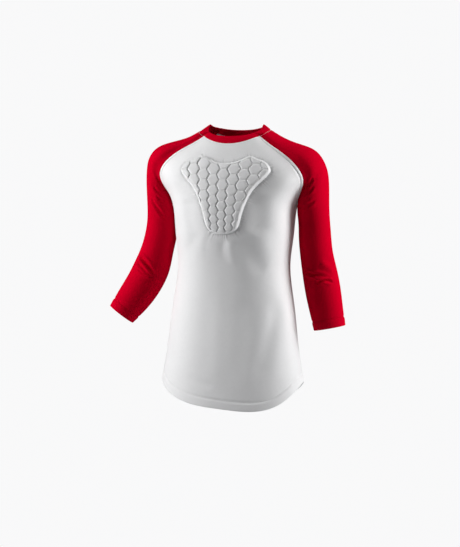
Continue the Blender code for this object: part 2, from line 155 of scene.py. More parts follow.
# ---------------------------------------------------------------- sections worked out
def span(end, middle_y, middle_z, turn, cols, flat, tail=2.0, slant=0.0):
    """Points of a row across the front or back: from -X to +X through its middle."""
    beta = radians(turn)
    pts = []
    for j in range(cols + 1):
        t = -beta + 2 * beta * j / cols
        part = (1 - cos(t)) / (1 - cos(beta))
        rise = abs(sin(t) / sin(beta)) ** tail
        x = end[0] * sin(t) / sin(beta)
        y = middle_y + (end[1] - middle_y) * part ** flat
        z = middle_z + (end[2] - middle_z) * rise - slant * x * (1 - rise)
        pts.append(vec(x, y, z))
    return pts


def over_shoulder(row):
    """Points of a yoke row over the +X shoulder: front seam, ridge, back seam."""
    f = vec(row.front_x, row.front_y, row.front_z)
    t = vec(row.top_x, row.top_y, row.top_z)
    b = vec(row.back_x, row.back_y, row.back_z)
    middle = (f + b) / 2
    half = np.linalg.norm(b - f) / 2
    if half > 1e-6:
        across = (f - b) / (2 * half)
    else:
        across = vec(0, -1, 0)
    up = t - middle
    up = up - across * up.dot(across)
    lift = np.linalg.norm(up)
    up = up / lift
    alpha = acos(min(1.0, half / row.girth))
    rise = lift / (1 + sin(alpha))
    centre = middle + up * (lift - rise)
    shift = across * (t - middle).dot(across)
    pts = []
    for j in range(SLEEVE_COLS + 1):
        a = -alpha + (pi + 2 * alpha) * j / SLEEVE_COLS
        p = centre + across * row.girth * cos(a) + up * rise * sin(a)
        p = p + shift * max(0.0, sin(a)) ** 2
        pts.append(p)
    pts[0], pts[-1] = f, b
    return pts


def sleeve_rings(table, first_middle):
    """Rings of a sleeve on the +X side, each from the underarm seam round by the front."""
    mids = [first_middle] + [vec(r.x, r.y, r.z) for r in table]
    rings = []
    for k, r in enumerate(table):
        nxt = mids[min(k + 2, len(mids) - 1)]
        axis = unit(nxt - mids[k])
        out = vec(1, 0, 0)
        out = unit(out - axis * out.dot(axis))
        fore = unit(np.cross(out, axis))
        if fore[1] > 0:
            fore = -fore
        lean = radians(r.lean)
        out = unit(out * cos(lean) - axis * sin(lean))
        ring = []
        for j in range(SLEEVE_COLS):
            a = -pi / 2 + 2 * pi * j / SLEEVE_COLS
            ring.append(mids[k + 1] + out * r.side * sin(a) + fore * r.deep * cos(a))
        rings.append(ring)
    return rings


def neck_edge():
    """The neckband's free edge, on the same columns as the neck seam."""
    pts = []
    seam = neck_seam()
    for p in seam:
        a = np.arctan2(p[0] / 0.088, -(p[1] - 0.004) / 0.074)
        c, s = cos(a), sin(a)
        end = BAND_FRONT if c > 0 else BAND_BACK
        y = BAND_SIDE.y + (end.y - BAND_SIDE.y) * abs(c)
        z = BAND_SIDE.z + (end.z - BAND_SIDE.z) * abs(c) ** end.fall
        pts.append(vec(BAND_HALF * s, y, z))
    return pts


def loop_row(k):
    """One closed row of the yoke: front -X to +X, left shoulder, back, right shoulder."""
    y, m = YOKE[k], MIDDLE[k]
    front = span(vec(y.front_x, y.front_y, y.front_z), m.front_y, m.front_z, m.front_turn,
                 FRONT_COLS, m.flat)
    back = span(vec(y.back_x, y.back_y, y.back_z), m.back_y, m.back_z, m.back_turn,
                BACK_COLS, m.flat)
    over = over_shoulder(y)
    mirror = [p * vec(-1, 1, 1) for p in reversed(over)]
    row = front[:-1] + over[:-1] + back[::-1][:-1] + mirror[:-1]
    share = min(1.0, k / 2) * (1.0 if k < 6 else 0.5)
    return [p - vec(0, 0, SHOULDER_SLANT * share * p[0]) for p in row]


def neck_seam():
    return loop_row(0)


def body_row(row):
    end = vec(row.half, row.side_y, row.side_z)
    slant = HEM_SLANT * max(0.0, (row.front_z - BODY[0].front_z) / (BODY[-1].front_z - BODY[0].front_z))
    front = span(end, row.front_y, row.front_z, 90, FRONT_COLS, row.flat, TAIL, slant)
    back = span(end, row.back_y, row.back_z, 90, BACK_COLS, row.flat, TAIL)
    return front[:-1] + back[::-1][:-1]

# ---------------------------------------------------------------- cage
PIECES = ["front_panel", "back_panel", "sleeve_left", "sleeve_right", "neckband"]


def build_cage():
    """Cage points, quads, the piece of each quad, and its row and column on that piece."""
    nf, ns, nb = FRONT_COLS, SLEEVE_COLS, BACK_COLS
    around = nf + ns + nb + ns
    under_left, under_right = nf, 0
    points, index, quads, piece, cell = [], {}, [], [], []
    first_col = {"front_panel": 0, "sleeve_left": nf, "back_panel": nf + ns, "sleeve_right": nf + ns + nb}

    def put(key, p):
        if key not in index:
            index[key] = len(points)
            points.append(p)
        return index[key]

    def yoke_key(k, i):
        i %= around
        if k == 6:
            if nf < i < nf + ns:
                return ("left", 6, i - nf)
            if i >= nf + ns + nb:
                return ("right", 6, i - (nf + ns + nb)) if i > nf + ns + nb else ("body", 6, 0)
            if i >= nf + ns:
                return ("body", 6, i - ns)
            return ("body", 6, i)
        return ("yoke", k, i)

    def side_of(i):
        i %= around
        if i < nf:
            return "front_panel"
        if i < nf + ns:
            return "sleeve_left"
        if i < nf + ns + nb:
            return "back_panel"
        return "sleeve_right"

    for i, p in enumerate(neck_edge()):
        put(("yoke", -1, i), p)
    for k in range(7):
        for i, p in enumerate(loop_row(k)):
            put(yoke_key(k, i), p)
    for k in range(-1, 6):
        for i in range(around):
            q = [(k, i), (k + 1, i), (k + 1, i + 1), (k, i + 1)]
            quads.append([index[yoke_key(*c)] for c in q])
            piece.append("neckband" if k < 0 else side_of(i))
            cell.append((k, i if k < 0 else i - first_col[side_of(i)]))

    rows = nf + nb
    for r, row in enumerate(BODY):
        for i, p in enumerate(body_row(row)):
            put(("body", 7 + r, i), p)
    for k in range(6, 6 + len(BODY)):
        for i in range(rows):
            a, b = i, (i + 1) % rows
            q = [("body", k, a), ("body", k + 1, a), ("body", k + 1, b), ("body", k, b)]
            quads.append([index[c] for c in q])
            piece.append("front_panel" if i < nf else "back_panel")
            cell.append((k, i % nf))

    over = over_shoulder(YOKE[6])
    first = (over[0] + over[SLEEVE_COLS // 2]) / 2
    for name, table, corner in (("left", SLEEVE_LEFT, under_left), ("right", SLEEVE_RIGHT, under_right)):
        flip = -1 if name == "right" else 1
        for r, ring in enumerate(sleeve_rings(table, first)):
            if flip < 0:
                ring = [ring[-j % ns] * vec(-1, 1, 1) for j in range(ns)]
            for j, p in enumerate(ring):
                put((name, 7 + r, j), p)
        for k in range(6, 6 + len(table)):
            for j in range(ns):
                corners = []
                for kk, jj in ((k, j), (k + 1, j), (k + 1, j + 1), (k, j + 1)):
                    jj %= ns
                    key = (name, kk, jj)
                    if kk == 6 and jj == 0:
                        key = ("body", 6, corner)
                    corners.append(index[key])
                quads.append(corners)
                piece.append("sleeve_" + name)
                cell.append((k, j))
    return np.array(points), quads, piece, cell


def ease(points, quads, rounds=60):
    """Move the cage until its smooth surface passes through the given points."""
    n = len(points)
    edges = {}
    for q in quads:
        for a, b in zip(q, q[1:] + q[:1]):
            key = (min(a, b), max(a, b))
            edges[key] = edges.get(key, 0) + 1
    rim = [[] for _ in range(n)]
    near = [[] for _ in range(n)]
    for (a, b), uses in edges.items():
        near[a].append(b)
        near[b].append(a)
        if uses == 1:
            rim[a].append(b)
            rim[b].append(a)
    far = [[] for _ in range(n)]
    for q in quads:
        for j in range(4):
            far[q[j]].append(q[(j + 2) % 4])
    weights = np.zeros((n, n))
    for i in range(n):
        if rim[i]:
            weights[i, i] = 4 / 6
            for b in rim[i]:
                weights[i, b] += 1 / 6
        else:
            v = len(near[i])
            total = v * (v + 5)
            weights[i, i] = v * v / total
            for b in near[i]:
                weights[i, b] += 4 / total
            for b in far[i]:
                weights[i, b] += 1 / total
    cage = points.copy()
    for _ in range(rounds):
        cage += points - weights @ cage
    return cage


def lay_flat(points, quads, piece, cell):
    """Each cage corner's place on its own piece laid flat: metres across from its middle, and up."""
    corner = ((0, 0), (1, 0), (1, 1), (0, 1))
    spots = {name: {} for name in PIECES}
    for q, name, (k, c) in zip(quads, piece, cell):
        for n, (dk, dc) in zip(q, corner):
            spots[name][(k + dk, c + dc)] = points[n]
    flat = {}
    for name, grid in spots.items():
        rows = sorted({k for k, _ in grid})
        cols = sorted({c for _, c in grid})
        base = 0 if name == "neckband" else 6
        middle = cols[len(cols) // 2]
        across, upward = {}, {}
        for k in rows:
            across[(k, middle)] = 0.0
            for way in (1, -1):
                c = middle
                while (k, c + way) in grid:
                    step = np.linalg.norm(grid[(k, c + way)] - grid[(k, c)])
                    across[(k, c + way)] = across[(k, c)] + way * step
                    c += way
        for c in cols:
            upward[(base, c)] = 0.0
            for way in (1, -1):
                k = base
                while (k + way, c) in grid:
                    step = np.linalg.norm(grid[(k + way, c)] - grid[(k, c)])
                    upward[(k + way, c)] = upward[(k, c)] - way * step
                    k += way
        for key in grid:
            flat[(name,) + key] = (across[key], upward[key])
    return [[flat[(name, k + dk, c + dc)] for dk, dc in corner]
            for name, (k, c) in zip(piece, cell)]


def smooth_surface(points, quads, piece, flat, level):
    """The cage under a Subdivision Surface modifier, read back as arrays."""
    mesh = bpy.data.meshes.new("shirt_cage")
    mesh.from_pydata([tuple(p) for p in points], [], quads)
    for name in PIECES:
        mesh.materials.append(bpy.data.materials.new("cage_" + name))
    mesh.polygons.foreach_set("material_index", [PIECES.index(n) for n in piece])
    layer = mesh.uv_layers.new(name="cloth")
    layer.data.foreach_set("uv", np.array(flat, dtype=np.float32).ravel())
    ob = bpy.data.objects.new("shirt_cage", mesh)
    bpy.context.scene.collection.objects.link(ob)
    sub = ob.modifiers.new("smooth", "SUBSURF")
    sub.levels = sub.render_levels = level
    sub.boundary_smooth = "ALL"
    sub.uv_smooth = "NONE"
    done = bpy.data.meshes.new_from_object(ob.evaluated_get(bpy.context.evaluated_depsgraph_get()))
    pts = np.empty(len(done.vertices) * 3)
    done.vertices.foreach_get("co", pts)
    pts = pts.reshape(-1, 3)
    faces = np.empty(len(done.loops), dtype=np.int64)
    done.loops.foreach_get("vertex_index", faces)
    faces = faces.reshape(-1, 4)
    owner = np.empty(len(done.polygons), dtype=np.int64)
    done.polygons.foreach_get("material_index", owner)
    spots = np.empty(len(done.loops) * 2)
    done.uv_layers["cloth"].data.foreach_get("uv", spots)
    bpy.data.objects.remove(ob, do_unlink=True)
    return pts, faces, owner, spots.reshape(-1, 4, 2)


def face_normals(pts, faces):
    return np.cross(pts[faces[:, 2]] - pts[faces[:, 0]], pts[faces[:, 3]] - pts[faces[:, 1]])


def point_normals(pts, faces):
    n = np.zeros_like(pts)
    fn = face_normals(pts, faces)
    for j in range(4):
        np.add.at(n, faces[:, j], fn)
    return n / np.maximum(np.linalg.norm(n, axis=1), 1e-12)[:, None]


def chain(edges):
    """Edges joined end to end into ordered runs of points; a closed run repeats its first point."""
    near = {}
    for a, b in edges:
        near.setdefault(a, []).append(b)
        near.setdefault(b, []).append(a)
    left = {tuple(sorted(e)) for e in edges}
    runs = []
    ends = [p for p, ns in near.items() if len(ns) == 1] + list(near)
    for start in ends:
        while True:
            nxt = [p for p in near[start] if tuple(sorted((start, p))) in left]
            if not nxt:
                break
            run, here = [start], start
            while True:
                nxt = [p for p in near[here] if tuple(sorted((here, p))) in left]
                if not nxt:
                    break
                left.discard(tuple(sorted((here, nxt[0]))))
                here = nxt[0]
                run.append(here)
            runs.append(run)
    return sorted(runs, key=len, reverse=True)


def curve_through(knots, count):
    """A smooth run of points through a few knots."""
    knots = np.asarray(knots, dtype=float)
    pad = np.vstack([2 * knots[0] - knots[1], knots, 2 * knots[-1] - knots[-2]])
    out = []
    for i in range(1, len(pad) - 2):
        p0, p1, p2, p3 = pad[i - 1:i + 3]
        for t in np.linspace(0, 1, count, endpoint=False):
            out.append(0.5 * (2 * p1 + (p2 - p0) * t + (2 * p0 - 5 * p1 + 4 * p2 - p3) * t * t
                              + (3 * p1 - p0 - 3 * p2 + p3) * t ** 3))
    out.append(pad[-2])
    return np.array(out)


def distance_to_run(pts, run, reach):
    """Distance from each point to a run of points, how far along it, and which are in reach."""
    low, high = run.min(0) - reach, run.max(0) + reach
    near = np.where(np.all((pts > low) & (pts < high), axis=1))[0]
    best = np.full(len(near), 1e9)
    along = np.zeros(len(near))
    total = len(run) - 1
    for i in range(total):
        a, d = run[i], run[i + 1] - run[i]
        t = np.clip(((pts[near] - a) @ d) / max(d @ d, 1e-18), 0, 1)
        r = np.linalg.norm(pts[near] - a - t[:, None] * d, axis=1)
        closer = r < best
        best[closer] = r[closer]
        along[closer] = (i + t[closer]) / total
    return near, best, along


# ---------------------------------------------------------------- creases
# Each runs through three places on the cloth.  seen: the side from which across (x, or y on the
# arms' outer sides) and z are taken.  depth: below the cloth, or above it where negative.
# lip: how far the cloth beside it stands up, as a share of the depth.
Crease = namedtuple("Crease", "piece seen a0 z0 a1 z1 a2 z2 depth width lip")
CREASES = [
    # the wearer's right sleeve: drag lines out of the armpit
    Crease("sleeve_right", "front", -0.1995, -0.1547, -0.1907, -0.1670, -0.1760, -0.1815, 0.0020, 0.0030, 0.55),
    Crease("sleeve_right", "front", -0.1926, -0.1745, -0.1851, -0.1859, -0.1735, -0.1985, 0.0017, 0.0027, 0.60),
    Crease("sleeve_right", "front", -0.2085, -0.1835, -0.1960, -0.2030, -0.1665, -0.2450, 0.0024, 0.0036, 0.55),
    Crease("sleeve_right", "front", -0.1899, -0.1372, -0.1870, -0.1440, -0.1835, -0.1520, 0.0011, 0.0026, 0.50),
    # its elbow
    Crease("sleeve_right", "front", -0.2420, -0.3270, -0.2184, -0.3463, -0.1925, -0.3835, 0.0044, 0.0040, 0.60),
    Crease("sleeve_right", "front", -0.2480, -0.3435, -0.2220, -0.3625, -0.1940, -0.3910, 0.0031, 0.0035, 0.60),
    Crease("sleeve_right", "front", -0.2400, -0.3620, -0.2250, -0.3710, -0.2110, -0.3795, 0.0015, 0.0030, 0.50),
    # the wearer's left sleeve: drag lines out of the armpit
    Crease("sleeve_left", "front", 0.2030, -0.1280, 0.1950, -0.1440, 0.1855, -0.1610, 0.0018, 0.0032, 0.55),
    Crease("sleeve_left", "front", 0.2060, -0.1490, 0.1935, -0.1630, 0.1790, -0.1745, 0.0022, 0.0032, 0.60),
    Crease("sleeve_left", "front", 0.1830, -0.1420, 0.1822, -0.1500, 0.1812, -0.1580, 0.0012, 0.0024, 0.45),
    Crease("sleeve_left", "front", 0.2110, -0.1830, 0.1900, -0.1962, 0.1690, -0.2160, 0.0018, 0.0033, 0.55),
    # its elbow
    Crease("sleeve_left", "front", 0.1800, -0.3530, 0.1960, -0.3640, 0.2480, -0.3665, 0.0039, 0.0035, 0.55),
    Crease("sleeve_left", "front", 0.2060, -0.3720, 0.2260, -0.3708, 0.2450, -0.3712, 0.0020, 0.0027, 0.50),
    Crease("sleeve_left", "front", 0.2080, -0.3870, 0.2290, -0.3785, 0.2515, -0.3840, 0.0033, 0.0033, 0.55),
    Crease("sleeve_left", "front", 0.2180, -0.3340, 0.2360, -0.3460, 0.2500, -0.3570, -0.0022, 0.0075, 0.45),
    # soft folds in the front under the pad
    Crease("front_panel", "front", 0.0190, -0.2740, 0.0215, -0.3040, 0.0270, -0.3420, -0.0011, 0.0085, 0.35),
    Crease("front_panel", "front", 0.0400, -0.2680, 0.0640, -0.3080, 0.0960, -0.3660, 0.0026, 0.0200, 0.30),
    Crease("front_panel", "front", -0.0560, -0.2500, -0.0760, -0.2830, -0.0960, -0.3160, 0.0016, 0.0160, 0.30),
    Crease("front_panel", "front", 0.0020, -0.2760, -0.0010, -0.3000, -0.0010, -0.3300, 0.0005, 0.0080, 0.40),
    Crease("front_panel", "front", -0.0330, -0.2680, -0.0400, -0.2900, -0.0440, -0.3150, 0.0005, 0.0070, 0.40),
    Crease("front_panel", "front", -0.1645, -0.1340, -0.1660, -0.1420, -0.1665, -0.1500, 0.0012, 0.0036, 0.40),
    Crease("front_panel", "front", 0.0780, -0.1650, 0.0860, -0.2150, 0.0820, -0.2750, 0.0040, 0.0260, 0.15),
    Crease("front_panel", "front", -0.0080, -0.3950, -0.0120, -0.5200, -0.0060, -0.6560, -0.0008, 0.0170, 0.15),
    Crease("front_panel", "front", 0.0480, -0.4100, 0.0560, -0.5000, 0.0480, -0.6200, 0.0016, 0.0190, 0.25),
    Crease("front_panel", "front", 0.1270, -0.4200, 0.1130, -0.5150, 0.0800, -0.6300, 0.0024, 0.0190, 0.20),
    Crease("front_panel", "front", -0.0900, -0.6150, -0.0500, -0.6290, -0.0120, -0.6320, 0.0011, 0.0080, 0.40),
    Crease("front_panel", "front", -0.0880, -0.1800, -0.0860, -0.2250, -0.0780, -0.2700, 0.0024, 0.0230, 0.15),
    # back: folds into the waist and across the shoulder blades
    Crease("back_panel", "back", -0.1240, -0.2960, -0.0500, -0.3240, 0.0320, -0.3300, 0.0018, 0.0130, 0.35),
    Crease("back_panel", "back", 0.1220, -0.3260, 0.0700, -0.3520, 0.0080, -0.3660, 0.0015, 0.0120, 0.35),
    Crease("back_panel", "back", -0.1180, -0.3560, -0.0760, -0.3790, -0.0280, -0.3900, 0.0010, 0.0100, 0.35),
    Crease("back_panel", "back", 0.1300, -0.1960, 0.1030, -0.2330, 0.0640, -0.2700, 0.0015, 0.0100, 0.35),
    Crease("back_panel", "back", -0.1300, -0.1920, -0.0980, -0.2190, -0.0600, -0.2430, 0.0014, 0.0105, 0.35),
    Crease("back_panel", "back", 0.0080, -0.1500, 0.0020, -0.2300, 0.0050, -0.3150, 0.0016, 0.0260, 0.15),
    # backs of the sleeves: armpit and elbow
    Crease("sleeve_right", "back", -0.2050, -0.1600, -0.1880, -0.1780, -0.1720, -0.1990, 0.0022, 0.0046, 0.55),
    Crease("sleeve_right", "back", -0.2120, -0.1900, -0.1960, -0.2130, -0.1780, -0.2330, 0.0018, 0.0044, 0.55),
    Crease("sleeve_left", "back", 0.2070, -0.1580, 0.1920, -0.1800, 0.1750, -0.1980, 0.0022, 0.0046, 0.55),
    Crease("sleeve_left", "back", 0.2170, -0.1860, 0.2010, -0.2080, 0.1800, -0.2280, 0.0017, 0.0044, 0.55),
    Crease("sleeve_right", "back", -0.1900, -0.3350, -0.2080, -0.3450, -0.2300, -0.3400, 0.0014, 0.0060, 0.45),
    Crease("sleeve_left", "back", 0.1900, -0.3420, 0.2120, -0.3500, 0.2320, -0.3450, 0.0016, 0.0060, 0.45),
]
LOOK = {"front": (Vector((0, 1, 0)), 1), "back": (Vector((0, -1, 0)), 1)}

TURN_UP = 0.0225        # hem's and cuffs' turned-up edge
STITCH_ROWS = 0.0032    # between the two needle rows of a coverstitch
TURN_RISE = 0.0009      # how much fuller the turned edge is


def crease_run(tree, crease):
    """The crease's line on the cloth, cast on to it from the side that it is seen from."""
    flat = curve_through([(crease.a0, crease.z0), (crease.a1, crease.z1), (crease.a2, crease.z2)], 7)
    way, _ = LOOK[crease.seen]
    run = []
    for a, z in flat:
        hit, _, _, _ = tree.ray_cast(Vector((a, 0, z)) - way * 1.0, way)
        if hit is not None:
            run.append(hit)
    return np.array([tuple(p) for p in run])


def press(pts, nrm, run, depth, width, lip, taper=0.22):
    """How far a crease moves each point along its normal."""
    near, r, t = distance_to_run(pts, run, width * 4.5)
    move = np.zeros(len(pts))
    if not len(near):
        return move
    at = np.clip(t * (len(run) - 1), 0, len(run) - 1).astype(int)
    here = nrm[near]
    ends = np.clip(np.minimum(t, 1 - t) / taper, 0, 1)
    ends = ends * ends * (3 - 2 * ends)
    w = width * (0.65 + 0.35 * ends)
    shape = -np.exp(-(r / w) ** 2) + lip * np.exp(-((r - 2.1 * w) / (0.95 * w)) ** 2)
    centre = nrm[near[np.argmin(r)]]
    same = np.clip((here @ centre) * 1.6 - 0.1, 0, 1)
    move[near] = depth * shape * ends * same
    return move


# ---------------------------------------------------------------- pieces as thin shells
def refine(pts, nrm, faces, spots, chosen):
    """Chosen quads split in four; their neighbours take up the new points on their edges."""
    mids, new_p, new_n = {}, [], []
    first = len(pts)

    def add(p, n):
        new_p.append(p)
        new_n.append(n / max(np.linalg.norm(n), 1e-12))
        return first + len(new_p) - 1

    def mid(a, b):
        key = (a, b) if a < b else (b, a)
        if key not in mids:
            mids[key] = add((pts[a] + pts[b]) / 2, nrm[a] + nrm[b])
        return mids[key]

    out, out_spots = [], []
    for f, w, c in zip(faces, spots, chosen):
        if not c or len(f) != 4:
            continue
        m = [mid(f[i], f[(i + 1) % 4]) for i in range(4)]
        wm = [(w[i] + w[(i + 1) % 4]) / 2 for i in range(4)]
        centre = add(pts[list(f)].mean(0), nrm[list(f)].sum(0))
        wc = (w[0] + w[1] + w[2] + w[3]) / 4
        for i in range(4):
            out.append([f[i], m[i], centre, m[i - 1]])
            out_spots.append([w[i], wm[i], wc, wm[i - 1]])
    split = len(out)
    for f, w, c in zip(faces, spots, chosen):
        if c and len(f) == 4:
            continue
        g, gw = [], []
        for i in range(len(f)):
            a, b = f[i], f[(i + 1) % len(f)]
            g.append(a)
            gw.append(w[i])
            key = (a, b) if a < b else (b, a)
            if key in mids:
                g.append(mids[key])
                gw.append((w[i] + w[(i + 1) % len(f)]) / 2)
        out.append(g)
        out_spots.append(gw)
    if new_p:
        pts = np.vstack([pts, np.array(new_p)])
        nrm = np.vstack([nrm, np.array(new_n)])
    return pts, nrm, out, out_spots, split


def smoothstep(x):
    x = np.clip(x, 0, 1)
    return x * x * (3 - 2 * x)


class Piece:
    """One sewn piece: its points, faces and borders, before its outer wall is creased."""

    def __init__(self, name, pts, faces, nrm, owner, spots):
        self.name = name
        mine = owner == PIECES.index(name)
        own = faces[mine]
        use = np.unique(own)
        back = np.full(len(pts), -1)
        back[use] = np.arange(len(use))
        self.pts, self.nrm = pts[use], nrm[use]
        self.quads = back[own]
        self.spots = spots[mine]
        self.shared = np.isin(use, np.unique(faces[~mine]))
        self.own_nrm = point_normals(self.pts, self.quads)
        count = {}
        for f in self.quads:
            for a, b in zip(f, np.roll(f, -1)):
                key = (a, b) if a < b else (b, a)
                count.setdefault(key, []).append((a, b))
        self.border = [u[0] for u in count.values() if len(u) == 1]
        self.seams = [e for e in self.border if self.shared[e[0]] and self.shared[e[1]]]
        seam_set = set(self.seams)
        self.free = [e for e in self.border if e not in seam_set]
        self.seam_inward = self._inward(self.seams)
        self.free_inward = self._inward(self.free)

    def _inward(self, edges):
        total = {}
        for a, b in edges:
            along = self.pts[b] - self.pts[a]
            along = along / max(np.linalg.norm(along), 1e-12)
            for i in (a, b):
                total[i] = total.get(i, 0) + np.cross(self.nrm[i], along)
        return {i: unit(d) for i, d in total.items()}

    def run(self, which):
        """Ordered points of its seams ("seams") or its free edges ("free")."""
        return chain(getattr(self, which))


def away_from(pts, runs, reach):
    """Distance of each point to the nearest of some runs, up to a reach."""
    far = np.full(len(pts), reach)
    for run in runs:
        near, r, _ = distance_to_run(pts, run, reach)
        far[near] = np.minimum(far[near], r)
    return far


def shell_object(name, piece, pts, nrm, faces, spots, inner_pts, round_edge, material):
    """A closed thin shell: creased outer wall, inner wall, flat seam edges, rounded free edges."""
    n_out = len(pts)
    verts = [pts, inner_pts]
    total = n_out + len(inner_pts)
    out_faces = [list(f) for f in faces]
    out_spots = [list(w) for w in spots]
    for f, w in zip(piece.quads, piece.spots):
        out_faces.append([int(i) + n_out for i in f[::-1]])
        out_spots.append(list(w[::-1]))
    spot_of = {}
    for f, w in zip(piece.quads, piece.spots):
        for i, s in zip(f, w):
            spot_of[int(i)] = s
    lips = {}
    if round_edge:
        extra = []
        for i, d in piece.free_inward.items():
            top, under = pts[i], inner_pts[i]
            middle, half = (top + under) / 2, (top - under) / 2
            reach = np.linalg.norm(half)
            ids = []
            for a in (0.25, 0.5, 0.75):
                ids.append(total + len(extra))
                extra.append(middle + half * cos(pi * a) - d * reach * sin(pi * a))
            lips[i] = ids
        verts.append(np.array(extra))
        total += len(extra)
    for a, b in piece.border:
        a, b = int(a), int(b)
        sa, sb = spot_of[a], spot_of[b]
        if round_edge and a in lips and b in lips:
            la, lb = [a] + lips[a] + [a + n_out], [b] + lips[b] + [b + n_out]
            for j in range(4):
                out_faces.append([lb[j], la[j], la[j + 1], lb[j + 1]])
                out_spots.append([sb, sa, sa, sb])
        else:
            out_faces.append([b, a, a + n_out, b + n_out])
            out_spots.append([sb, sa, sa, sb])
            for i, s in ((a, sa), (b, sb)):
                pass
    if round_edge:
        # a free edge meets a seam edge at these points: close the small half moon there
        ends = {}
        for a, b in piece.seams:
            for i in (int(a), int(b)):
                if i in lips:
                    ends[i] = (a, b)
        for i, (a, b) in ends.items():
            loop = [i] + lips[i] + [i + n_out]
            if int(b) == i:
                loop = loop[::-1]
            out_faces.append(loop)
            out_spots.append([spot_of[i]] * len(loop))
    ob = mesh_object(name, np.vstack(verts), out_faces, material, out_spots)
    return ob


def mesh_object(name, verts, faces, material, spots=None):
    mesh = bpy.data.meshes.new(name)
    mesh.from_pydata(np.asarray(verts).tolist(), [], faces)
    if spots is not None:
        layer = mesh.uv_layers.new(name="cloth")
        flat = np.array([s for w in spots for s in w], dtype=np.float32)
        layer.data.foreach_set("uv", flat.ravel())
    mesh.polygons.foreach_set("use_smooth", [True] * len(mesh.polygons))
    mesh.materials.append(material)
    mesh.update()
    ob = bpy.data.objects.new(name, mesh)
    bpy.context.scene.collection.objects.link(ob)
    return ob


# ---------------------------------------------------------------- stitching
THREAD = 0.00024        # half a thread's thickness
THREAD_SIDES = 5


class Stitches:
    """Short lengths of thread, gathered into one mesh."""

    def __init__(self):
        self.verts, self.faces = [], []
        self.count = 0

    def add(self, start, end, normal, radius=THREAD, rise=0.00035, sink=0.0002):
        """Threads from start to end (one row each), bowed up along the cloth's normal."""
        steps = np.array([0.0, 0.3, 0.7, 1.0])
        thick = np.array([0.55, 1.0, 1.0, 0.55])
        n = len(start)
        if not n:
            return
        d = end - start
        d = d / np.maximum(np.linalg.norm(d, axis=1), 1e-12)[:, None]
        side = np.cross(normal, d)
        side = side / np.maximum(np.linalg.norm(side, axis=1), 1e-12)[:, None]
        up = np.cross(d, side)
        rings = []
        for t, k in zip(steps, thick):
            bow = 4 * t * (1 - t)
            centre = start + (end - start) * t + up * (rise * bow - sink * (1 - bow))
            for j in range(THREAD_SIDES):
                a = 2 * pi * j / THREAD_SIDES
                rings.append(centre + (side * cos(a) + up * sin(a)) * radius * k)
        block = np.stack(rings, axis=1).reshape(-1, 3)
        per = len(steps) * THREAD_SIDES
        self.verts.append(block)
        for i in range(n):
            base = self.count + i * per
            for r in range(len(steps) - 1):
                for j in range(THREAD_SIDES):
                    k = (j + 1) % THREAD_SIDES
                    a, b = base + r * THREAD_SIDES, base + (r + 1) * THREAD_SIDES
                    self.faces.append([a + j, a + k, b + k, b + j])
            self.faces.append([base + j for j in reversed(range(THREAD_SIDES))])
            top = base + (len(steps) - 1) * THREAD_SIDES
            self.faces.append([top + j for j in range(THREAD_SIDES)])
        self.count += n * per

    def build(self, name, material):
        return mesh_object(name, np.vstack(self.verts), self.faces, material)


class Lane:
    """A run of points on the cloth with the direction across it, sampled by its length."""

    def __init__(self, pts, across):
        self.pts, self.across = np.asarray(pts), np.asarray(across)
        step = np.linalg.norm(np.diff(self.pts, axis=0), axis=1)
        self.at = np.concatenate([[0], np.cumsum(step)])
        self.length = float(self.at[-1])

    def place(self, s, offset, tree):
        """Points on the cloth at lengths s along the lane and some way across it."""
        p = np.stack([np.interp(s, self.at, self.pts[:, k]) for k in range(3)], 1)
        d = np.stack([np.interp(s, self.at, self.across[:, k]) for k in range(3)], 1)
        d = d / np.maximum(np.linalg.norm(d, axis=1), 1e-12)[:, None]
        p = p + d * np.broadcast_to(np.asarray(offset, dtype=float), s.shape)[:, None]
        hits, normals = [], []
        for q in p:
            hit, n, _, _ = tree.find_nearest(Vector(q))
            hits.append(tuple(hit))
            normals.append(tuple(n))
        return np.array(hits), np.array(normals)


def running(bag, lane, offset, tree, pitch=0.0032, fill=0.74, radius=THREAD, trim=0.0):
    """A row of running stitches."""
    s = np.arange(trim, lane.length - trim - pitch, pitch)
    a, na = lane.place(s, offset, tree)
    b, nb = lane.place(s + pitch * fill, offset, tree)
    bag.add(a, b, (na + nb) / 2, radius)


def zigzag(bag, lane, low, high, tree, pitch=0.0015, radius=THREAD, trim=0.0):
    """Cover threads laid to and fro between two rows."""
    s = np.arange(trim, lane.length - trim - pitch, pitch)
    flip = np.arange(len(s)) % 2 == 0
    a, na = lane.place(s, np.where(flip, low, high), tree)
    b, nb = lane.place(s + pitch, np.where(flip, high, low), tree)
    bag.add(a, b, (na + nb) / 2, radius, rise=0.00025, sink=0.00005)


def ribbon(name, lanes, low, high, rise, tree, material, step=0.0016):
    """A flatlock seam's raised band of covering thread, laid along one or more lanes."""
    profile = [(0.0, -0.0004), (0.06, 0.25), (0.2, 0.8), (0.5, 1.0), (0.8, 0.8), (0.94, 0.25), (1.0, -0.0004)]
    verts, faces, spots, total = [], [], [], 0
    for lane in lanes:
        s = np.linspace(0, lane.length, max(3, int(lane.length / step)))
        rows = []
        for t, h in profile:
            p, n = lane.place(s, low + (high - low) * t, tree)
            lift = rise * h if h > 0 else h
            rows.append(p + n * lift)
        grid = np.stack(rows, 1)
        m = len(profile)
        verts.append(grid.reshape(-1, 3))
        for i in range(len(s) - 1):
            for j in range(m - 1):
                a = total + i * m + j
                faces.append([a, a + 1, a + m + 1, a + m])
                u0, u1 = profile[j][0] * (high - low), profile[j + 1][0] * (high - low)
                spots.append([(u0, s[i]), (u1, s[i]), (u1, s[i + 1]), (u0, s[i + 1])])
        total += len(s) * m
    return mesh_object(name, np.vstack(verts), faces, material, spots)


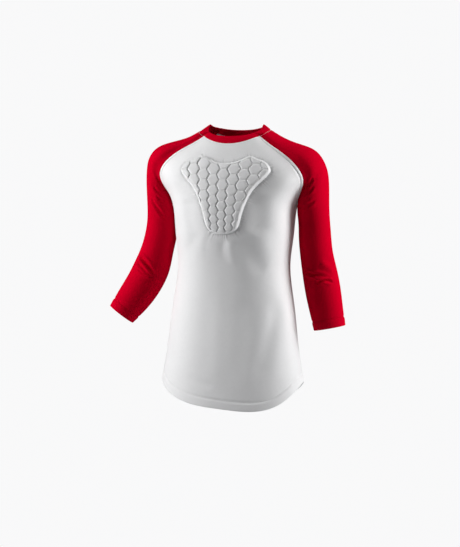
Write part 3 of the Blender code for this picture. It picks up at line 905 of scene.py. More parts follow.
# ---------------------------------------------------------------- chest pad
PAD_CLEAR = 0.0005
PAD_TOP = 0.0080        # top of the cells over the front panel
PAD_WALL = 0.0082       # how far in the sloping side wall comes up
RIM_GROOVE = 0.0080     # line pressed in along the top of the wall, that far in
RIM_DEPTH = 0.0008
CELL_START = 0.0050     # where the honeycomb begins
GROOVE_DEPTH = 0.0030   # between the columns of cells
GROOVE_HALF = 0.0024
LEVEL_SHARE = 0.42      # the level grooves are shallower
CELL_CROWN = 0.0005
PAD_STEP = 0.0009

# Honeycomb, flat-topped cells in upright columns that draw together downwards.
Level = namedtuple("Level", "z row column")      # row: whole numbers are cell edges mid-column
HONEYCOMB = [
    Level(-0.0640, -2, 0.0262), Level(-0.0894, -1, 0.0256), Level(-0.1143, 0, 0.0250),
    Level(-0.1392, 1, 0.0240), Level(-0.1640, 2, 0.0226), Level(-0.1880, 3, 0.0213),
    Level(-0.2105, 4, 0.0199), Level(-0.2310, 5, 0.0184), Level(-0.2500, 6, 0.0170),
    Level(-0.2690, 7, 0.0162),
]


def comb_edge(x, z):
    """Distance from each point to the nearest groove of the honeycomb, and how far it is a level one."""
    zs = [v.z for v in HONEYCOMB][::-1]
    row = np.interp(z, zs, [v.row for v in HONEYCOMB][::-1])
    column = np.interp(z, zs, [v.column for v in HONEYCOMB][::-1])
    tall = 1 / np.maximum(np.abs(np.interp(z + 0.004, zs, [v.row for v in HONEYCOMB][::-1])
                                 - np.interp(z - 0.004, zs, [v.row for v in HONEYCOMB][::-1])) / 0.008, 1e-6)
    u = x / column * 1.5
    v = (row - 0.5) * sqrt(3)
    best = np.full(len(x), 1e9)
    level = np.zeros(len(x))
    base = np.round(x / column)
    for shift in (-1, 0, 1):
        c = base + shift
        odd = np.mod(c, 2) != 0
        cu = c * 1.5
        off = np.where(odd, sqrt(3) / 2, 0.0)
        cv = np.round((v - off) / sqrt(3)) * sqrt(3) + off
        du, dv = np.abs(u - cu), np.abs(v - cv)
        slope = du * sqrt(3) / 2 + dv / 2
        q = np.maximum(dv, slope)
        level = np.where(q < best, smoothstep((dv - slope + 0.03) / 0.06), level)
        best = np.minimum(best, q)
    size = 0.5 * (column / 1.5 + tall / sqrt(3))
    return (sqrt(3) / 2 - best) * size, level


def pad_line(spacing):
    """The pad's closed outline, evenly stepped, anticlockwise in x and z."""
    half = [(e.x, e.z) for e in PAD_OUTLINE]
    knots = np.array(half + [(-x, z) for x, z in half[-2:0:-1]])
    n = len(knots)
    out = []
    for i in range(n):
        p0, p1, p2, p3 = (knots[(i + k) % n] for k in (-1, 0, 1, 2))
        for t in np.linspace(0, 1, 24, endpoint=False):
            out.append(0.5 * (2 * p1 + (p2 - p0) * t + (2 * p0 - 5 * p1 + 4 * p2 - p3) * t * t
                              + (3 * p1 - p0 - 3 * p2 + p3) * t ** 3))
    out = np.array(out + [out[0]])
    for _ in range(3):
        out[1:-1] = (out[:-2] + 2 * out[1:-1] + out[2:]) / 4
    at = np.concatenate([[0], np.cumsum(np.linalg.norm(np.diff(out, axis=0), axis=1))])
    s = np.linspace(0, at[-1], int(at[-1] / spacing) + 1)[:-1]
    line = np.stack([np.interp(s, at, out[:, 0]), np.interp(s, at, out[:, 1])], 1)
    area = 0.5 * np.sum(line[:, 0] * np.roll(line[:, 1], -1) - np.roll(line[:, 0], -1) * line[:, 1])
    return line if area > 0 else line[::-1]


def inside_line(p, line):
    """Signed distance in x and z to a closed line: above 0 inside.  Also how far along it."""
    a, b = line, np.roll(line, -1, axis=0)
    best = np.full(len(p), 1e9)
    along = np.zeros(len(p))
    turn = np.zeros(len(p), dtype=bool)
    for i in range(len(a)):
        d = b[i] - a[i]
        rel = p - a[i]
        t = np.clip((rel @ d) / (d @ d), 0, 1)
        r = np.hypot(rel[:, 0] - t * d[0], rel[:, 1] - t * d[1])
        closer = r < best
        best[closer] = r[closer]
        along[closer] = (i + t[closer]) / len(a)
        cross = (a[i, 1] > p[:, 1]) != (b[i, 1] > p[:, 1])
        if cross.any():
            xs = a[i, 0] + (p[:, 1] - a[i, 1]) / (b[i, 1] - a[i, 1] + 1e-18) * d[0]
            turn ^= cross & (p[:, 0] < xs)
    return np.where(turn, best, -best), along


class FrontBed:
    """The front panel's outer face as a smooth sheet y(x, z), with its normals."""

    def __init__(self, tree, low, high, step=0.003):
        self.low, self.step = np.array(low), step
        self.nx = int((high[0] - low[0]) / step) + 2
        self.nz = int((high[1] - low[1]) / step) + 2
        y = np.zeros((self.nx, self.nz))
        for i in range(self.nx):
            for j in range(self.nz):
                hit, _, _, _ = tree.ray_cast(Vector((low[0] + i * step, -1, low[1] + j * step)), Vector((0, 1, 0)))
                y[i, j] = hit[1] if hit is not None else np.nan
        self.y = y

    def height(self, x, z):
        u = np.clip((x - self.low[0]) / self.step, 1, self.nx - 3.001)
        v = np.clip((z - self.low[1]) / self.step, 1, self.nz - 3.001)
        i, j = u.astype(int), v.astype(int)
        fu, fv = u - i, v - j

        def weights(t):
            return (-0.5 * t + t * t - 0.5 * t ** 3, 1 - 2.5 * t * t + 1.5 * t ** 3,
                    0.5 * t + 2 * t * t - 1.5 * t ** 3, -0.5 * t * t + 0.5 * t ** 3)
        total = np.zeros(len(x))
        for a, wu in zip((-1, 0, 1, 2), weights(fu)):
            for b, wv in zip((-1, 0, 1, 2), weights(fv)):
                total += wu * wv * self.y[i + a, j + b]
        return total

    def place(self, x, z, out):
        e = 0.004
        y = self.height(x, z)
        gx = (self.height(x + e, z) - self.height(x - e, z)) / (2 * e)
        gz = (self.height(x, z + e) - self.height(x, z - e)) / (2 * e)
        n = np.stack([gx, -np.ones_like(gx), gz], 1)
        n = n / np.linalg.norm(n, axis=1)[:, None]
        return np.stack([x, y, z], 1) + n * np.asarray(out)[:, None]


def pad_height(e, x, z):
    """Height of the pad's face over the cloth, that far in from its edge."""
    t = np.clip(e / PAD_WALL, 0, 1)
    wall = PAD_CLEAR + (PAD_TOP - PAD_CLEAR) * (1 - (1 - t) ** 1.9)
    h = wall - RIM_DEPTH * np.exp(-((e - RIM_GROOVE) / 0.0011) ** 2)
    d, level = comb_edge(x, z)
    g = np.clip(1 - d / GROOVE_HALF, 0, 1)
    deep = GROOVE_DEPTH * (1 - (1 - LEVEL_SHARE) * level)
    cell = -deep * (g ** 1.25) + CELL_CROWN * (1 - np.exp(-(d / 0.0045) ** 2))
    fade = smoothstep((e - CELL_START) / 0.0016)
    return h + cell * fade


def build_pad(bed, material):
    line = pad_line(0.0011)
    low, high = line.min(0), line.max(0)
    # face: rings that follow the outline, then a grid
    e_rings = [0.0, 0.0008, 0.0018, 0.0030, 0.0042, 0.0053, 0.0064, 0.0073, 0.0080, 0.0088]
    tangent = np.roll(line, -1, axis=0) - np.roll(line, 1, axis=0)
    tangent /= np.linalg.norm(tangent, axis=1)[:, None]
    inward = np.stack([-tangent[:, 1], tangent[:, 0]], 1)
    pts = [line]
    for e in e_rings[1:]:
        p = line + inward * e
        keep = np.abs(inside_line(p, line)[0] - e) < 0.00012
        pts.append(p[keep])
    xs = np.arange(low[0], high[0], PAD_STEP)
    zs = np.arange(low[1], high[1], PAD_STEP)
    gx, gz = np.meshgrid(xs, zs)
    gx = gx + (np.arange(len(zs)) % 2)[:, None] * PAD_STEP / 2
    g = np.stack([gx.ravel(), gz.ravel()], 1)
    d, _ = inside_line(g, line)
    pts.append(g[d > e_rings[-1] + 0.0006])
    flat = np.vstack(pts)
    n_line = len(line)
    loop = [(i, (i + 1) % n_line) for i in range(n_line)]
    co, _, tris, _, _, _ = delaunay_2d_cdt([Vector(p) for p in flat], loop, [], 1, 1e-7)
    co = np.array([tuple(c) for c in co])
    # drop any facet outside the outline
    mid = np.array([co[list(t)].mean(0) for t in tris])
    tris = [list(t) for t, s in zip(tris, inside_line(mid, line)[0]) if s > 0]
    e, _ = inside_line(co, line)
    e = np.maximum(e, 0)
    top = bed.place(co[:, 0], co[:, 1], pad_height(e, co[:, 0], co[:, 1]))
    # underside: the same outline, drawn in coarse steps, just clear of the cloth
    step = 0.008
    gx, gz = np.meshgrid(np.arange(low[0], high[0], step), np.arange(low[1], high[1], step))
    g = np.stack([gx.ravel(), gz.ravel()], 1)
    g = g[inside_line(g, line)[0] > 0.004]
    flat2 = np.vstack([line, g])
    co2, _, tris2, _, _, _ = delaunay_2d_cdt([Vector(p) for p in flat2], loop, [], 1, 1e-7)
    co2 = np.array([tuple(c) for c in co2])
    mid2 = np.array([co2[list(t)].mean(0) for t in tris2])
    tris2 = [list(t) for t, s in zip(tris2, inside_line(mid2, line)[0]) if s > 0]
    under = bed.place(co2[:, 0], co2[:, 1], np.full(len(co2), PAD_CLEAR))
    verts = np.vstack([top, under[n_line:]])

    def shift(i):
        return i if i < n_line else len(top) + i - n_line
    faces = [t if area_sign(top, t) else t[::-1] for t in tris]
    faces += [[shift(i) for i in (t[::-1] if area_sign(under, t) else t)] for t in tris2]
    flat_all = np.vstack([co, co2[n_line:]])
    spots = [[tuple(flat_all[i]) for i in f] for f in faces]
    return mesh_object("chest_pad_visual", verts, faces, material, spots)


def area_sign(p, t):
    """True where a facet faces the front."""
    return np.cross(p[t[1]] - p[t[0]], p[t[2]] - p[t[0]])[1] < 0


# Puckers in the front around the pad: how strong they are along its edge.
Pull = namedtuple("Pull", "x z strength")
PULLS = [
    Pull(0.000, -0.2675, 1.00), Pull(0.035, -0.2560, 1.00), Pull(-0.035, -0.2560, 0.90),
    Pull(0.050, -0.2100, 0.55), Pull(-0.050, -0.2100, 0.65), Pull(0.085, -0.1480, 0.70),
    Pull(-0.085, -0.1480, 0.55), Pull(0.110, -0.1130, 1.00), Pull(-0.110, -0.1130, 0.60),
    Pull(0.078, -0.0875, 0.75), Pull(-0.078, -0.0875, 0.60), Pull(0.055, -0.0815, 0.80),
    Pull(-0.055, -0.0815, 0.75), Pull(0.000, -0.0980, 0.45),
]
PUCKER = 0.0008         # their height at the edge
PUCKER_REACH = 0.0090   # how far they run out
PUCKER_PITCH = 0.0058


def puckers(pts, nrm, line):
    """Fine ridges that run out from the pad's stitched edge, uneven in spacing and length."""
    d, along = inside_line(pts[:, [0, 2]], line)
    out = np.maximum(-d, 0)
    move = np.zeros(len(pts))
    live = (d < 0.003) & (out < 0.04) & (nrm[:, 1] < -0.2)
    if not live.any():
        return move
    around = len(line) * 0.0011
    s = along[live] * around
    strength = np.zeros(live.sum())
    weight = np.zeros(live.sum())
    p = pts[live][:, [0, 2]]
    for k in PULLS:
        w = 1 / (1e-4 + (p[:, 0] - k.x) ** 2 + (p[:, 1] - k.z) ** 2)
        strength += w * k.strength
        weight += w
    strength /= weight
    phase = 2 * pi * s / PUCKER_PITCH
    wobble = 1.9 * np.sin(2 * pi * s / 0.047 + 0.7) + 1.3 * np.sin(2 * pi * s / 0.021 + 2.1)
    ridge = np.sin(phase + wobble + out[live] * 90 * np.sin(2 * pi * s / 0.09))
    ridge = np.sign(ridge) * np.abs(ridge) ** 0.8
    gate = 0.35 + 0.65 * (0.5 + 0.5 * np.sin(2 * pi * s / 0.033 + 1.1)) ** 1.5
    reach = PUCKER_REACH * (0.55 + 0.9 * (0.5 + 0.5 * np.sin(2 * pi * s / 0.0273 + 0.4)))
    fall = np.exp(-(out[live] / reach) ** 1.3)
    dip = -0.0010 * np.exp(-(out[live] / 0.004) ** 2)
    move[live] = PUCKER * strength * gate * ridge * fall + dip
    return move


# ---------------------------------------------------------------- materials
class Graph:
    """Shorthand for a material's nodes."""

    def __init__(self, name, rough, sheen, sheen_rough, sheen_tint, specular):
        self.mat = bpy.data.materials.new(name)
        self.mat.use_nodes = True
        self.tree = self.mat.node_tree
        self.bsdf = self.tree.nodes["Principled BSDF"]
        self.set(self.bsdf, "Roughness", rough)
        self.set(self.bsdf, "Metallic", 0.0)
        self.set(self.bsdf, "Specular IOR Level", specular)
        self.set(self.bsdf, "Sheen Weight", sheen)
        self.set(self.bsdf, "Sheen Roughness", sheen_rough)
        self.set(self.bsdf, "Sheen Tint", sheen_tint + (1,))

    @staticmethod
    def set(node, socket, value):
        node.inputs[socket].default_value = value

    def node(self, kind, **fields):
        n = self.tree.nodes.new(kind)
        for key, value in fields.items():
            setattr(n, key, value)
        return n

    def link(self, a, b):
        self.tree.links.new(a, b)

    def calc(self, op, a, b=None, c=None):
        n = self.node("ShaderNodeMath", operation=op)
        for i, v in enumerate((a, b, c)):
            if v is None:
                continue
            if isinstance(v, (int, float)):
                n.inputs[i].default_value = v
            else:
                self.link(v, n.inputs[i])
        return n.outputs[0]

    def mix(self, factor, a, b):
        n = self.node("ShaderNodeMix", data_type="RGBA")
        self.link(factor, n.inputs[0])
        n.inputs[6].default_value = tuple(a) + (1,)
        n.inputs[7].default_value = tuple(b) + (1,)
        return n.outputs[2]

    def noise(self, vector, scale, detail, rough=0.5):
        n = self.node("ShaderNodeTexNoise", noise_dimensions="3D")
        n.inputs["Scale"].default_value = scale
        n.inputs["Detail"].default_value = detail
        n.inputs["Roughness"].default_value = rough
        self.link(vector, n.inputs["Vector"])
        return n.outputs[0]

    def bump(self, height, distance, strength):
        n = self.node("ShaderNodeBump")
        n.inputs["Distance"].default_value = distance
        n.inputs["Strength"].default_value = strength
        self.link(height, n.inputs["Height"])
        self.link(n.outputs[0], self.bsdf.inputs["Normal"])


def knit(name, colour, shade, rough, sheen, sheen_tint, specular, wale=0.00085, course=0.00062,
         relief=0.00011):
    """Fine jersey: wales of slanted loops, a little fuzz, painted shade in the hollows between the loops, faint
    uneven dye.
    """
    g = Graph(name, rough, sheen, 0.4, sheen_tint, specular)
    uv = g.node("ShaderNodeUVMap", uv_map="cloth")
    sep = g.node("ShaderNodeSeparateXYZ")
    g.link(uv.outputs[0], sep.inputs[0])
    u = g.calc("MULTIPLY", sep.outputs[0], 1 / wale)
    v = g.calc("MULTIPLY", sep.outputs[1], 1 / course)
    leg = g.calc("MULTIPLY", g.calc("ABSOLUTE", g.calc("SUBTRACT", g.calc("FRACT", u), 0.5)), 2.0)
    arch = g.calc("SINE", g.calc("MULTIPLY", leg, pi))
    slant = g.calc("SINE", g.calc("ADD", g.calc("MULTIPLY", v, 2 * pi), g.calc("MULTIPLY", leg, 2.6)))
    loop = g.calc("MULTIPLY", arch, g.calc("MULTIPLY_ADD", slant, 0.28, 0.72))
    place = g.node("ShaderNodeTexCoord").outputs["Object"]
    fuzz = g.noise(place, 2600.0, 2.0)
    streak = g.noise(place, 130.0, 3.0, 0.6)
    cloud = g.noise(place, 14.0, 2.0)
    height = g.calc("MULTIPLY_ADD", fuzz, 0.35, loop)
    g.bump(height, relief, 0.55)
    # painted shade: the hollows between the loops are mixed towards the shade colour
    deep = g.calc("MULTIPLY", g.calc("SUBTRACT", 1.0, loop), 0.30)
    tone = g.calc("MULTIPLY_ADD", g.calc("SUBTRACT", streak, 0.5), 0.35, deep)
    tone = g.calc("MULTIPLY_ADD", g.calc("SUBTRACT", cloud, 0.5), 0.30, tone)
    clamp = g.node("ShaderNodeClamp")
    g.link(tone, clamp.inputs[0])
    g.link(g.mix(clamp.outputs[0], colour, shade), g.bsdf.inputs["Base Color"])
    g.link(g.calc("MULTIPLY_ADD", streak, 0.10, rough - 0.05), g.bsdf.inputs["Roughness"])
    return g.mat


def thread(name, colour, shade, rough, specular):
    """Twisted polyester sewing thread."""
    g = Graph(name, rough, 0.15, 0.4, colour, specular)
    place = g.node("ShaderNodeTexCoord").outputs["Object"]
    twist = g.node("ShaderNodeTexWave", wave_type="BANDS", bands_direction="DIAGONAL")
    twist.inputs["Scale"].default_value = 900.0
    twist.inputs["Distortion"].default_value = 1.5
    g.link(place, twist.inputs["Vector"])
    g.bump(twist.outputs[1], 0.00005, 0.5)
    g.link(g.mix(g.calc("MULTIPLY", twist.outputs[1], 0.35), colour, shade), g.bsdf.inputs["Base Color"])
    return g.mat


# the *_SHADE colours are mixed in as painted shade in the loop hollows and also as faint uneven dye
WHITE, WHITE_SHADE = (0.845, 0.845, 0.850), (0.71, 0.71, 0.72)
RED, RED_SHADE = (0.57, 0.0002, 0.017), (0.42, 0.0002, 0.011)
white_knit = knit("white_jersey", WHITE, WHITE_SHADE, 0.50, 0.12, (1.0, 1.0, 1.0), 0.35)
red_knit = knit("red_jersey", RED, RED_SHADE, 0.52, 0.25, (1.0, 0.0, 0.03), 0.0)
pad_knit = knit("pad_jersey", (0.83, 0.83, 0.835), WHITE_SHADE, 0.46, 0.12, (1.0, 1.0, 1.0), 0.38,
                wale=0.00080, course=0.00060, relief=0.00009)
white_thread = thread("white_thread", (0.93, 0.93, 0.935), (0.82, 0.82, 0.825), 0.38, 0.5)
red_thread = thread("red_thread", (0.56, 0.0006, 0.018), (0.40, 0.0004, 0.012), 0.45, 0.03)

# ---------------------------------------------------------------- the shirt
points, quads, piece_names, cell = build_cage()
cage = ease(points, quads)
flat = lay_flat(points, quads, piece_names, cell)
pts, faces, owner, spots = smooth_surface(cage, quads, piece_names, flat, SMOOTH_LEVEL)
nrm = point_normals(pts, faces)
tree = BVHTree.FromPolygons(pts.tolist(), faces.tolist())
runs = {c: crease_run(tree, c) for c in CREASES}
outline = pad_line(0.0011)

pieces = {name: Piece(name, pts, faces, nrm, owner, spots) for name in PIECES}
seam_runs = {name: [p.pts[r] for r in p.run("seams")] for name, p in pieces.items()}
free_runs = {name: [p.pts[r] for r in p.run("free")] for name, p in pieces.items()}

MATERIAL = {"front_panel": white_knit, "back_panel": white_knit, "sleeve_left": red_knit,
            "sleeve_right": red_knit, "neckband": red_knit}
SEAM_DIP, SEAM_DIP_WIDTH = 0.0007, 0.0022
FLATLOCK = 0.0062       # width of the raglan's covering stitches, on the white panels
RAGLAN_LINE = 0.0080    # the pressed line beside them
RAGLAN_DIP, RAGLAN_DIP_WIDTH = 0.0012, 0.0017
ROW_DIP, ROW_DIP_WIDTH = 0.0020, 0.0025     # where the coverstitch pulls the turned edge in


def moved(name, piece, p, n):
    """How far each point of a piece goes out along its normal."""
    move = np.zeros(len(p))
    for c, run in runs.items():
        if len(run) > 1:
            move += press(p, n, run, c.depth, c.width, c.lip)
    seam = away_from(p, seam_runs[name], 0.02)
    move -= SEAM_DIP * np.exp(-(seam / SEAM_DIP_WIDTH) ** 2)
    if name != "neckband":
        edge = away_from(p, free_runs[name], 0.05)
        move += TURN_RISE * (1 - smoothstep((edge - TURN_UP + 0.002) / 0.004))
        move -= ROW_DIP * np.exp(-((edge - TURN_UP + STITCH_ROWS / 2) / ROW_DIP_WIDTH) ** 2)
    if name in ("front_panel", "back_panel"):
        move -= RAGLAN_DIP * np.exp(-((seam - RAGLAN_LINE) / RAGLAN_DIP_WIDTH) ** 2) \
            * smoothstep((p[:, 2] + 0.205) / 0.012) \
            * smoothstep((away_from(p, seam_runs["neckband"], 0.03) - 0.010) / 0.005)
    if name == "neckband":
        edge = away_from(p, free_runs[name], 0.03)
        whole = seam + edge
        t = np.clip(seam / np.maximum(whole, 1e-6), 0, 1)
        move += 0.0011 * np.sin(pi * np.clip(t, 0, 1)) ** 0.8
    if name == "front_panel":
        move += puckers(p, n, outline)
    return move


def shell(name):
    piece = pieces[name]
    p, n = piece.pts, piece.nrm
    faces = [[int(i) for i in f] for f in piece.quads]
    spot = [[w[j] for j in range(4)] for w in piece.spots]
    border = np.zeros(len(p), dtype=bool)
    for a, b in piece.border:
        border[[a, b]] = True

    def pick(p, faces, levels):
        quad = np.array([len(f) == 4 for f in faces])
        idx = np.array([f[:4] for f in faces])
        mid = p[idx].mean(1)
        touch = border[np.minimum(idx, len(border) - 1)] & (idx < len(border))
        free = quad & ~touch.any(1)
        want = np.zeros(len(faces), dtype=bool)
        for c, run in runs.items():
            if c.piece == name and len(run) > 1 and c.width < (0.006 if levels == 1 else 0.0035):
                reach = c.width * (3.2 if levels == 1 else 1.6)
                near, r, _ = distance_to_run(mid, run, reach + 0.001)
                want[near] |= r < reach
        if name != "neckband" and levels == 1:
            edge = away_from(mid, free_runs[name], 0.04)
            want |= np.abs(edge - TURN_UP + STITCH_ROWS / 2) < 0.0075
        if name in ("front_panel", "back_panel") and levels == 1:
            seam = away_from(mid, seam_runs[name], 0.02)
            want |= (seam < 0.011) & (mid[:, 2] > -0.2)
        if name == "front_panel":
            d, _ = inside_line(mid[:, [0, 2]], outline)
            face_front = mid[:, 1] < -0.02
            reach = 0.022 if levels == 1 else 0.010
            want |= (d < (0.004 if levels == 1 else 0.002)) & (d > -reach) & face_front
        return want & free
    for level in (1,) if name in ("back_panel", "neckband") else (1, 2):
        p, n, faces, spot, _ = refine(p, n, faces, spot, pick(p, faces, level))
    move = moved(name, piece, p, n)
    out = p + n * move[:, None]
    for i, d in piece.seam_inward.items():
        out[i] += d * SEAM_GAP / 2
    depth = BAND_CLOTH if name == "neckband" else CLOTH
    m = len(piece.pts)
    thick = np.full(m, depth)
    if name != "neckband":
        edge = away_from(piece.pts, free_runs[name], 0.05)
        thick += 0.0009 * (1 - smoothstep((edge - TURN_UP + 0.002) / 0.004))
    inward = piece.nrm.copy()
    for i, d in piece.seam_inward.items():
        if piece.own_nrm[i].dot(piece.nrm[i]) < 0.999 and piece.own_nrm[i].dot(d) < -0.02:
            inward[i] = piece.own_nrm[i]
    inner = out[:m] - inward * thick[:, None]
    ob = shell_object(name + "_cloth", piece, out, n, faces, spot, inner, True, MATERIAL[name])
    return ob, out, faces


objects, outer = {}, {}
for name in PIECES:
    ob, out, fs = shell(name)
    objects[name] = ob
    outer[name] = (out, fs)
    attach(ob, "root")
    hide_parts(name)


def tree_of(*names):
    verts, polys, base = [], [], 0
    for name in names:
        v, f = outer[name]
        verts.append(v)
        polys += [[i + base for i in q] for q in f]
        base += len(v)
    return BVHTree.FromPolygons(np.vstack(verts).tolist(), polys)


plain_front = BVHTree.FromPolygons(pieces["front_panel"].pts.tolist(), pieces["front_panel"].quads.tolist())
bed = FrontBed(plain_front, (-0.128, -0.284), (0.128, -0.066))
pad = build_pad(bed, pad_knit)
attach(pad, "root")
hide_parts("chest_pad")

# ---------------------------------------------------------------- seams and stitching


def seam_between(a, b):
    """Lanes along the seam of piece a with piece b, pointing across into piece a."""
    pa, pb = pieces[a], pieces[b]
    keys = {tuple(np.round(q, 6)) for q in pb.pts[np.where(pb.shared)[0]]}
    ours = [(i, j) for i, j in pa.seams
            if tuple(np.round(pa.pts[i], 6)) in keys and tuple(np.round(pa.pts[j], 6)) in keys]
    lanes = []
    for run in chain(ours):
        if len(run) < 6:
            continue
        p = pa.pts[run]
        d = np.array([pa.seam_inward[i] for i in run])
        along = np.gradient(p, axis=0)
        along /= np.maximum(np.linalg.norm(along, axis=1), 1e-12)[:, None]
        d = d - along * (d * along).sum(1)[:, None]
        lanes.append(Lane(p, d))
    return lanes


def edge_lanes(name):
    p = pieces[name]
    lanes = []
    for run in p.run("free"):
        if len(run) < 6:
            continue
        lanes.append(Lane(p.pts[run], np.array([p.free_inward[i] for i in run])))
    return lanes


body_tree = tree_of("front_panel", "back_panel")
trees = {name: tree_of(name) for name in PIECES}
whites, reds = Stitches(), Stitches()
bands = []
for panel in ("front_panel", "back_panel"):
    for sleeve in ("sleeve_left", "sleeve_right"):
        for lane in seam_between(panel, sleeve):
            bands.append((lane, trees[panel]))
            zigzag(whites, lane, 0.0008, FLATLOCK - 0.0002, trees[panel], pitch=0.0017, trim=0.001)
            running(whites, lane, 0.0010, trees[panel], pitch=0.0024, trim=0.001, radius=THREAD * 1.1)
            running(whites, lane, FLATLOCK - 0.0004, trees[panel], pitch=0.0024, trim=0.001,
                    radius=THREAD * 1.1)
raglan = {}
for i, panel in enumerate(("front_panel", "back_panel")):
    lanes = [lane for lane, t in bands if t is trees[panel]]
    raglan[panel] = ribbon(panel.split("_")[0] + "_raglan_flatlock", lanes, 0.0001, FLATLOCK, 0.00045,
                           trees[panel], white_thread)
side_lanes = seam_between("front_panel", "back_panel")
sides = ribbon("side_seam_flatlock", side_lanes, -0.0028, 0.0028, 0.0004, body_tree, white_thread)
for lane in side_lanes:
    zigzag(whites, lane, -0.0026, 0.0026, body_tree, pitch=0.0019)

# neck: one row of white stitches beside the band, on the panels and on the sleeves
for name in ("front_panel", "back_panel"):
    for lane in seam_between(name, "neckband"):
        running(whites, lane, 0.0010, trees[name], pitch=0.0026, fill=0.88, radius=0.00042, trim=0.0006)
        running(whites, lane, 0.0030, trees[name], pitch=0.0026, fill=0.80, radius=0.0003, trim=0.0006)
for name in ("sleeve_left", "sleeve_right"):
    for lane in seam_between(name, "neckband"):
        running(whites, lane, 0.0016, trees[name], pitch=0.0034, fill=0.62, radius=0.00032, trim=0.001)

neck_lanes = seam_between("front_panel", "neckband") + seam_between("back_panel", "neckband")
neck_edge_band = ribbon("neck_seam_flatlock", neck_lanes, 0.0002, 0.0030, 0.0006, body_tree, white_thread)

# hems and cuffs: two rows of coverstitch
for name, bag in (("front_panel", whites), ("back_panel", whites), ("sleeve_left", reds),
                  ("sleeve_right", reds)):
    for lane in edge_lanes(name):
        for row in (0.0, STITCH_ROWS):
            running(bag, lane, TURN_UP - row, trees[name], pitch=0.0030, fill=0.76,
                    radius=0.00027 if bag is whites else 0.00025)
stitch_white = whites.build("white_stitching", white_thread)
stitch_red = reds.build("red_stitching", red_thread)
for ob, slot in ((stitch_white, "white_knit"), (stitch_red, "red_knit"), (raglan["front_panel"], "white_knit"),
                 (raglan["back_panel"], "white_knit"), (sides, "white_knit"), (neck_edge_band, "white_knit")):
    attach(ob, "root")

# ---------------------------------------------------------------- cloth as cut
Cut = namedtuple("Cut", "width length area")

# ---------------------------------------------------------------- studio
FLOOR_Z = -1.30
PALE = (0.945, 0.945, 0.95)


def area_light(name, azimuth, elevation, distance, width, height, power, colour=(1, 1, 1)):
    """A soft box aimed at the shirt's middle; azimuth as seen from above, 0 is the front."""
    a, e = radians(azimuth), radians(elevation)
    target = Vector((0, 0, -0.36))
    away = Vector((sin(a) * cos(e), -cos(a) * cos(e), sin(e)))
    light = bpy.data.lights.new(name, "AREA")
    light.shape = "RECTANGLE"
    light.size, light.size_y = width, height
    light.energy = power
    light.color = colour
    ob = bpy.data.objects.new(name, light)
    bpy.context.scene.collection.objects.link(ob)
    ob.location = target + away * distance
    ob.rotation_euler = away.to_track_quat("Z", "Y").to_euler()
    return ob


area_light("key_left_low", -65, 9, 2.0, 0.8, 1.2, 26.0)
area_light("key_left_high", -64, 40, 2.0, 0.8, 1.2, 18.5)
area_light("right_high", 88, 38, 2.0, 0.8, 1.2, 15.5)
area_light("right_low", 97, 12, 2.0, 0.8, 1.2, 30.0)
area_light("back_soft", 178, 25, 2.4, 1.4, 1.4, 14.0)

world = bpy.data.worlds.new("studio")
bpy.context.scene.world = world
world.use_nodes = True
wt = world.node_tree
seen_bg = wt.nodes["Background"]
seen_bg.inputs[0].default_value = PALE + (1,)
seen_bg.inputs[1].default_value = 1.0
fill_bg = wt.nodes.new("ShaderNodeBackground")
fill_bg.inputs[0].default_value = (1, 1, 1, 1)
fill_bg.inputs[1].default_value = 0.06
path = wt.nodes.new("ShaderNodeLightPath")
mix = wt.nodes.new("ShaderNodeMixShader")
wt.links.new(path.outputs["Is Camera Ray"], mix.inputs[0])
wt.links.new(fill_bg.outputs[0], mix.inputs[1])
wt.links.new(seen_bg.outputs[0], mix.inputs[2])
wt.links.new(mix.outputs[0], wt.nodes["World Output"].inputs[0])


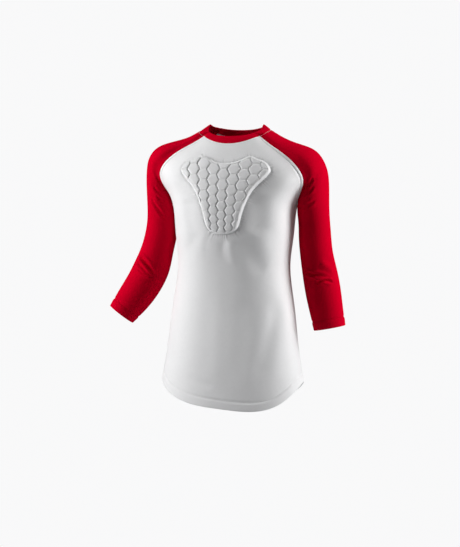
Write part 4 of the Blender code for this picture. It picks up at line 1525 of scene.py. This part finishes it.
def floor_disc(radius, rings, around):
    verts, faces = [(0, 0, FLOOR_Z)], []
    for r in range(1, rings + 1):
        for j in range(around):
            a = 2 * pi * j / around
            verts.append((radius * (r / rings) ** 2 * cos(a), radius * (r / rings) ** 2 * sin(a), FLOOR_Z))
    for j in range(around):
        faces.append([0, 1 + j, 1 + (j + 1) % around])
    for r in range(rings - 1):
        for j in range(around):
            a, b = 1 + r * around + j, 1 + r * around + (j + 1) % around
            faces.append([a, a + around, b + around, b])
    mesh = bpy.data.meshes.new("floor")
    mesh.from_pydata(verts, [], faces)
    mat = bpy.data.materials.new("pale_floor")
    mat.use_nodes = True
    t = mat.node_tree
    bsdf = t.nodes["Principled BSDF"]
    bsdf.inputs["Base Color"].default_value = (0.62, 0.625, 0.635, 1)
    bsdf.inputs["Roughness"].default_value = 0.9
    glow = t.nodes.new("ShaderNodeEmission")
    glow.inputs[0].default_value = PALE + (1,)
    seen = t.nodes.new("ShaderNodeLightPath")
    both = t.nodes.new("ShaderNodeMixShader")
    t.links.new(seen.outputs["Is Camera Ray"], both.inputs[0])
    t.links.new(bsdf.outputs[0], both.inputs[1])
    t.links.new(glow.outputs[0], both.inputs[2])
    t.links.new(both.outputs[0], t.nodes["Material Output"].inputs[0])
    mesh.materials.append(mat)
    ob = bpy.data.objects.new("floor", mesh)
    bpy.context.scene.collection.objects.link(ob)
    return ob


floor_disc(40.0, 24, 96)

# ---------------------------------------------------------------- camera, at the photograph's angle
IMAGE_WIDTH, IMAGE_HEIGHT = 460, 547
AZIMUTH, ELEVATION, ROLL, DISTANCE = 14.5, 4.5, 0.8, 2.5
TARGET = Vector((0.0, 0.0, -0.355))
TARGET_PIXEL = (234.0, 267.5)
PIXELS_PER_METRE = 400.0
az, el, ro = radians(AZIMUTH), radians(ELEVATION), radians(ROLL)
back = Vector((sin(az) * cos(el), -cos(az) * cos(el), sin(el)))
right = Vector((cos(az), sin(az), 0))
up = back.cross(right)
cam_right = right * cos(ro) + up * sin(ro)
cam_up = up * cos(ro) - right * sin(ro)
camera = bpy.data.cameras.new("camera")
camera.sensor_fit = "AUTO"
camera.sensor_width = 36.0
camera.lens = 36.0 * DISTANCE * PIXELS_PER_METRE / IMAGE_HEIGHT
camera.shift_x = (IMAGE_WIDTH / 2 - TARGET_PIXEL[0]) / IMAGE_HEIGHT
camera.shift_y = (TARGET_PIXEL[1] - IMAGE_HEIGHT / 2) / IMAGE_HEIGHT
camera.clip_end = 200
cam = bpy.data.objects.new("camera", camera)
bpy.context.scene.collection.objects.link(cam)
turn = Matrix((cam_right, cam_up, back)).transposed().to_4x4()
cam.matrix_world = Matrix.Translation(TARGET + back * DISTANCE) @ turn
bpy.context.scene.camera = cam

scene = bpy.context.scene
scene.view_settings.view_transform = "Standard"
scene.view_settings.look = "None"
scene.view_settings.exposure = 0.0
scene.view_settings.gamma = 1.0


def corners(box):
    return [[float(k) for k in corner] for corner in box]
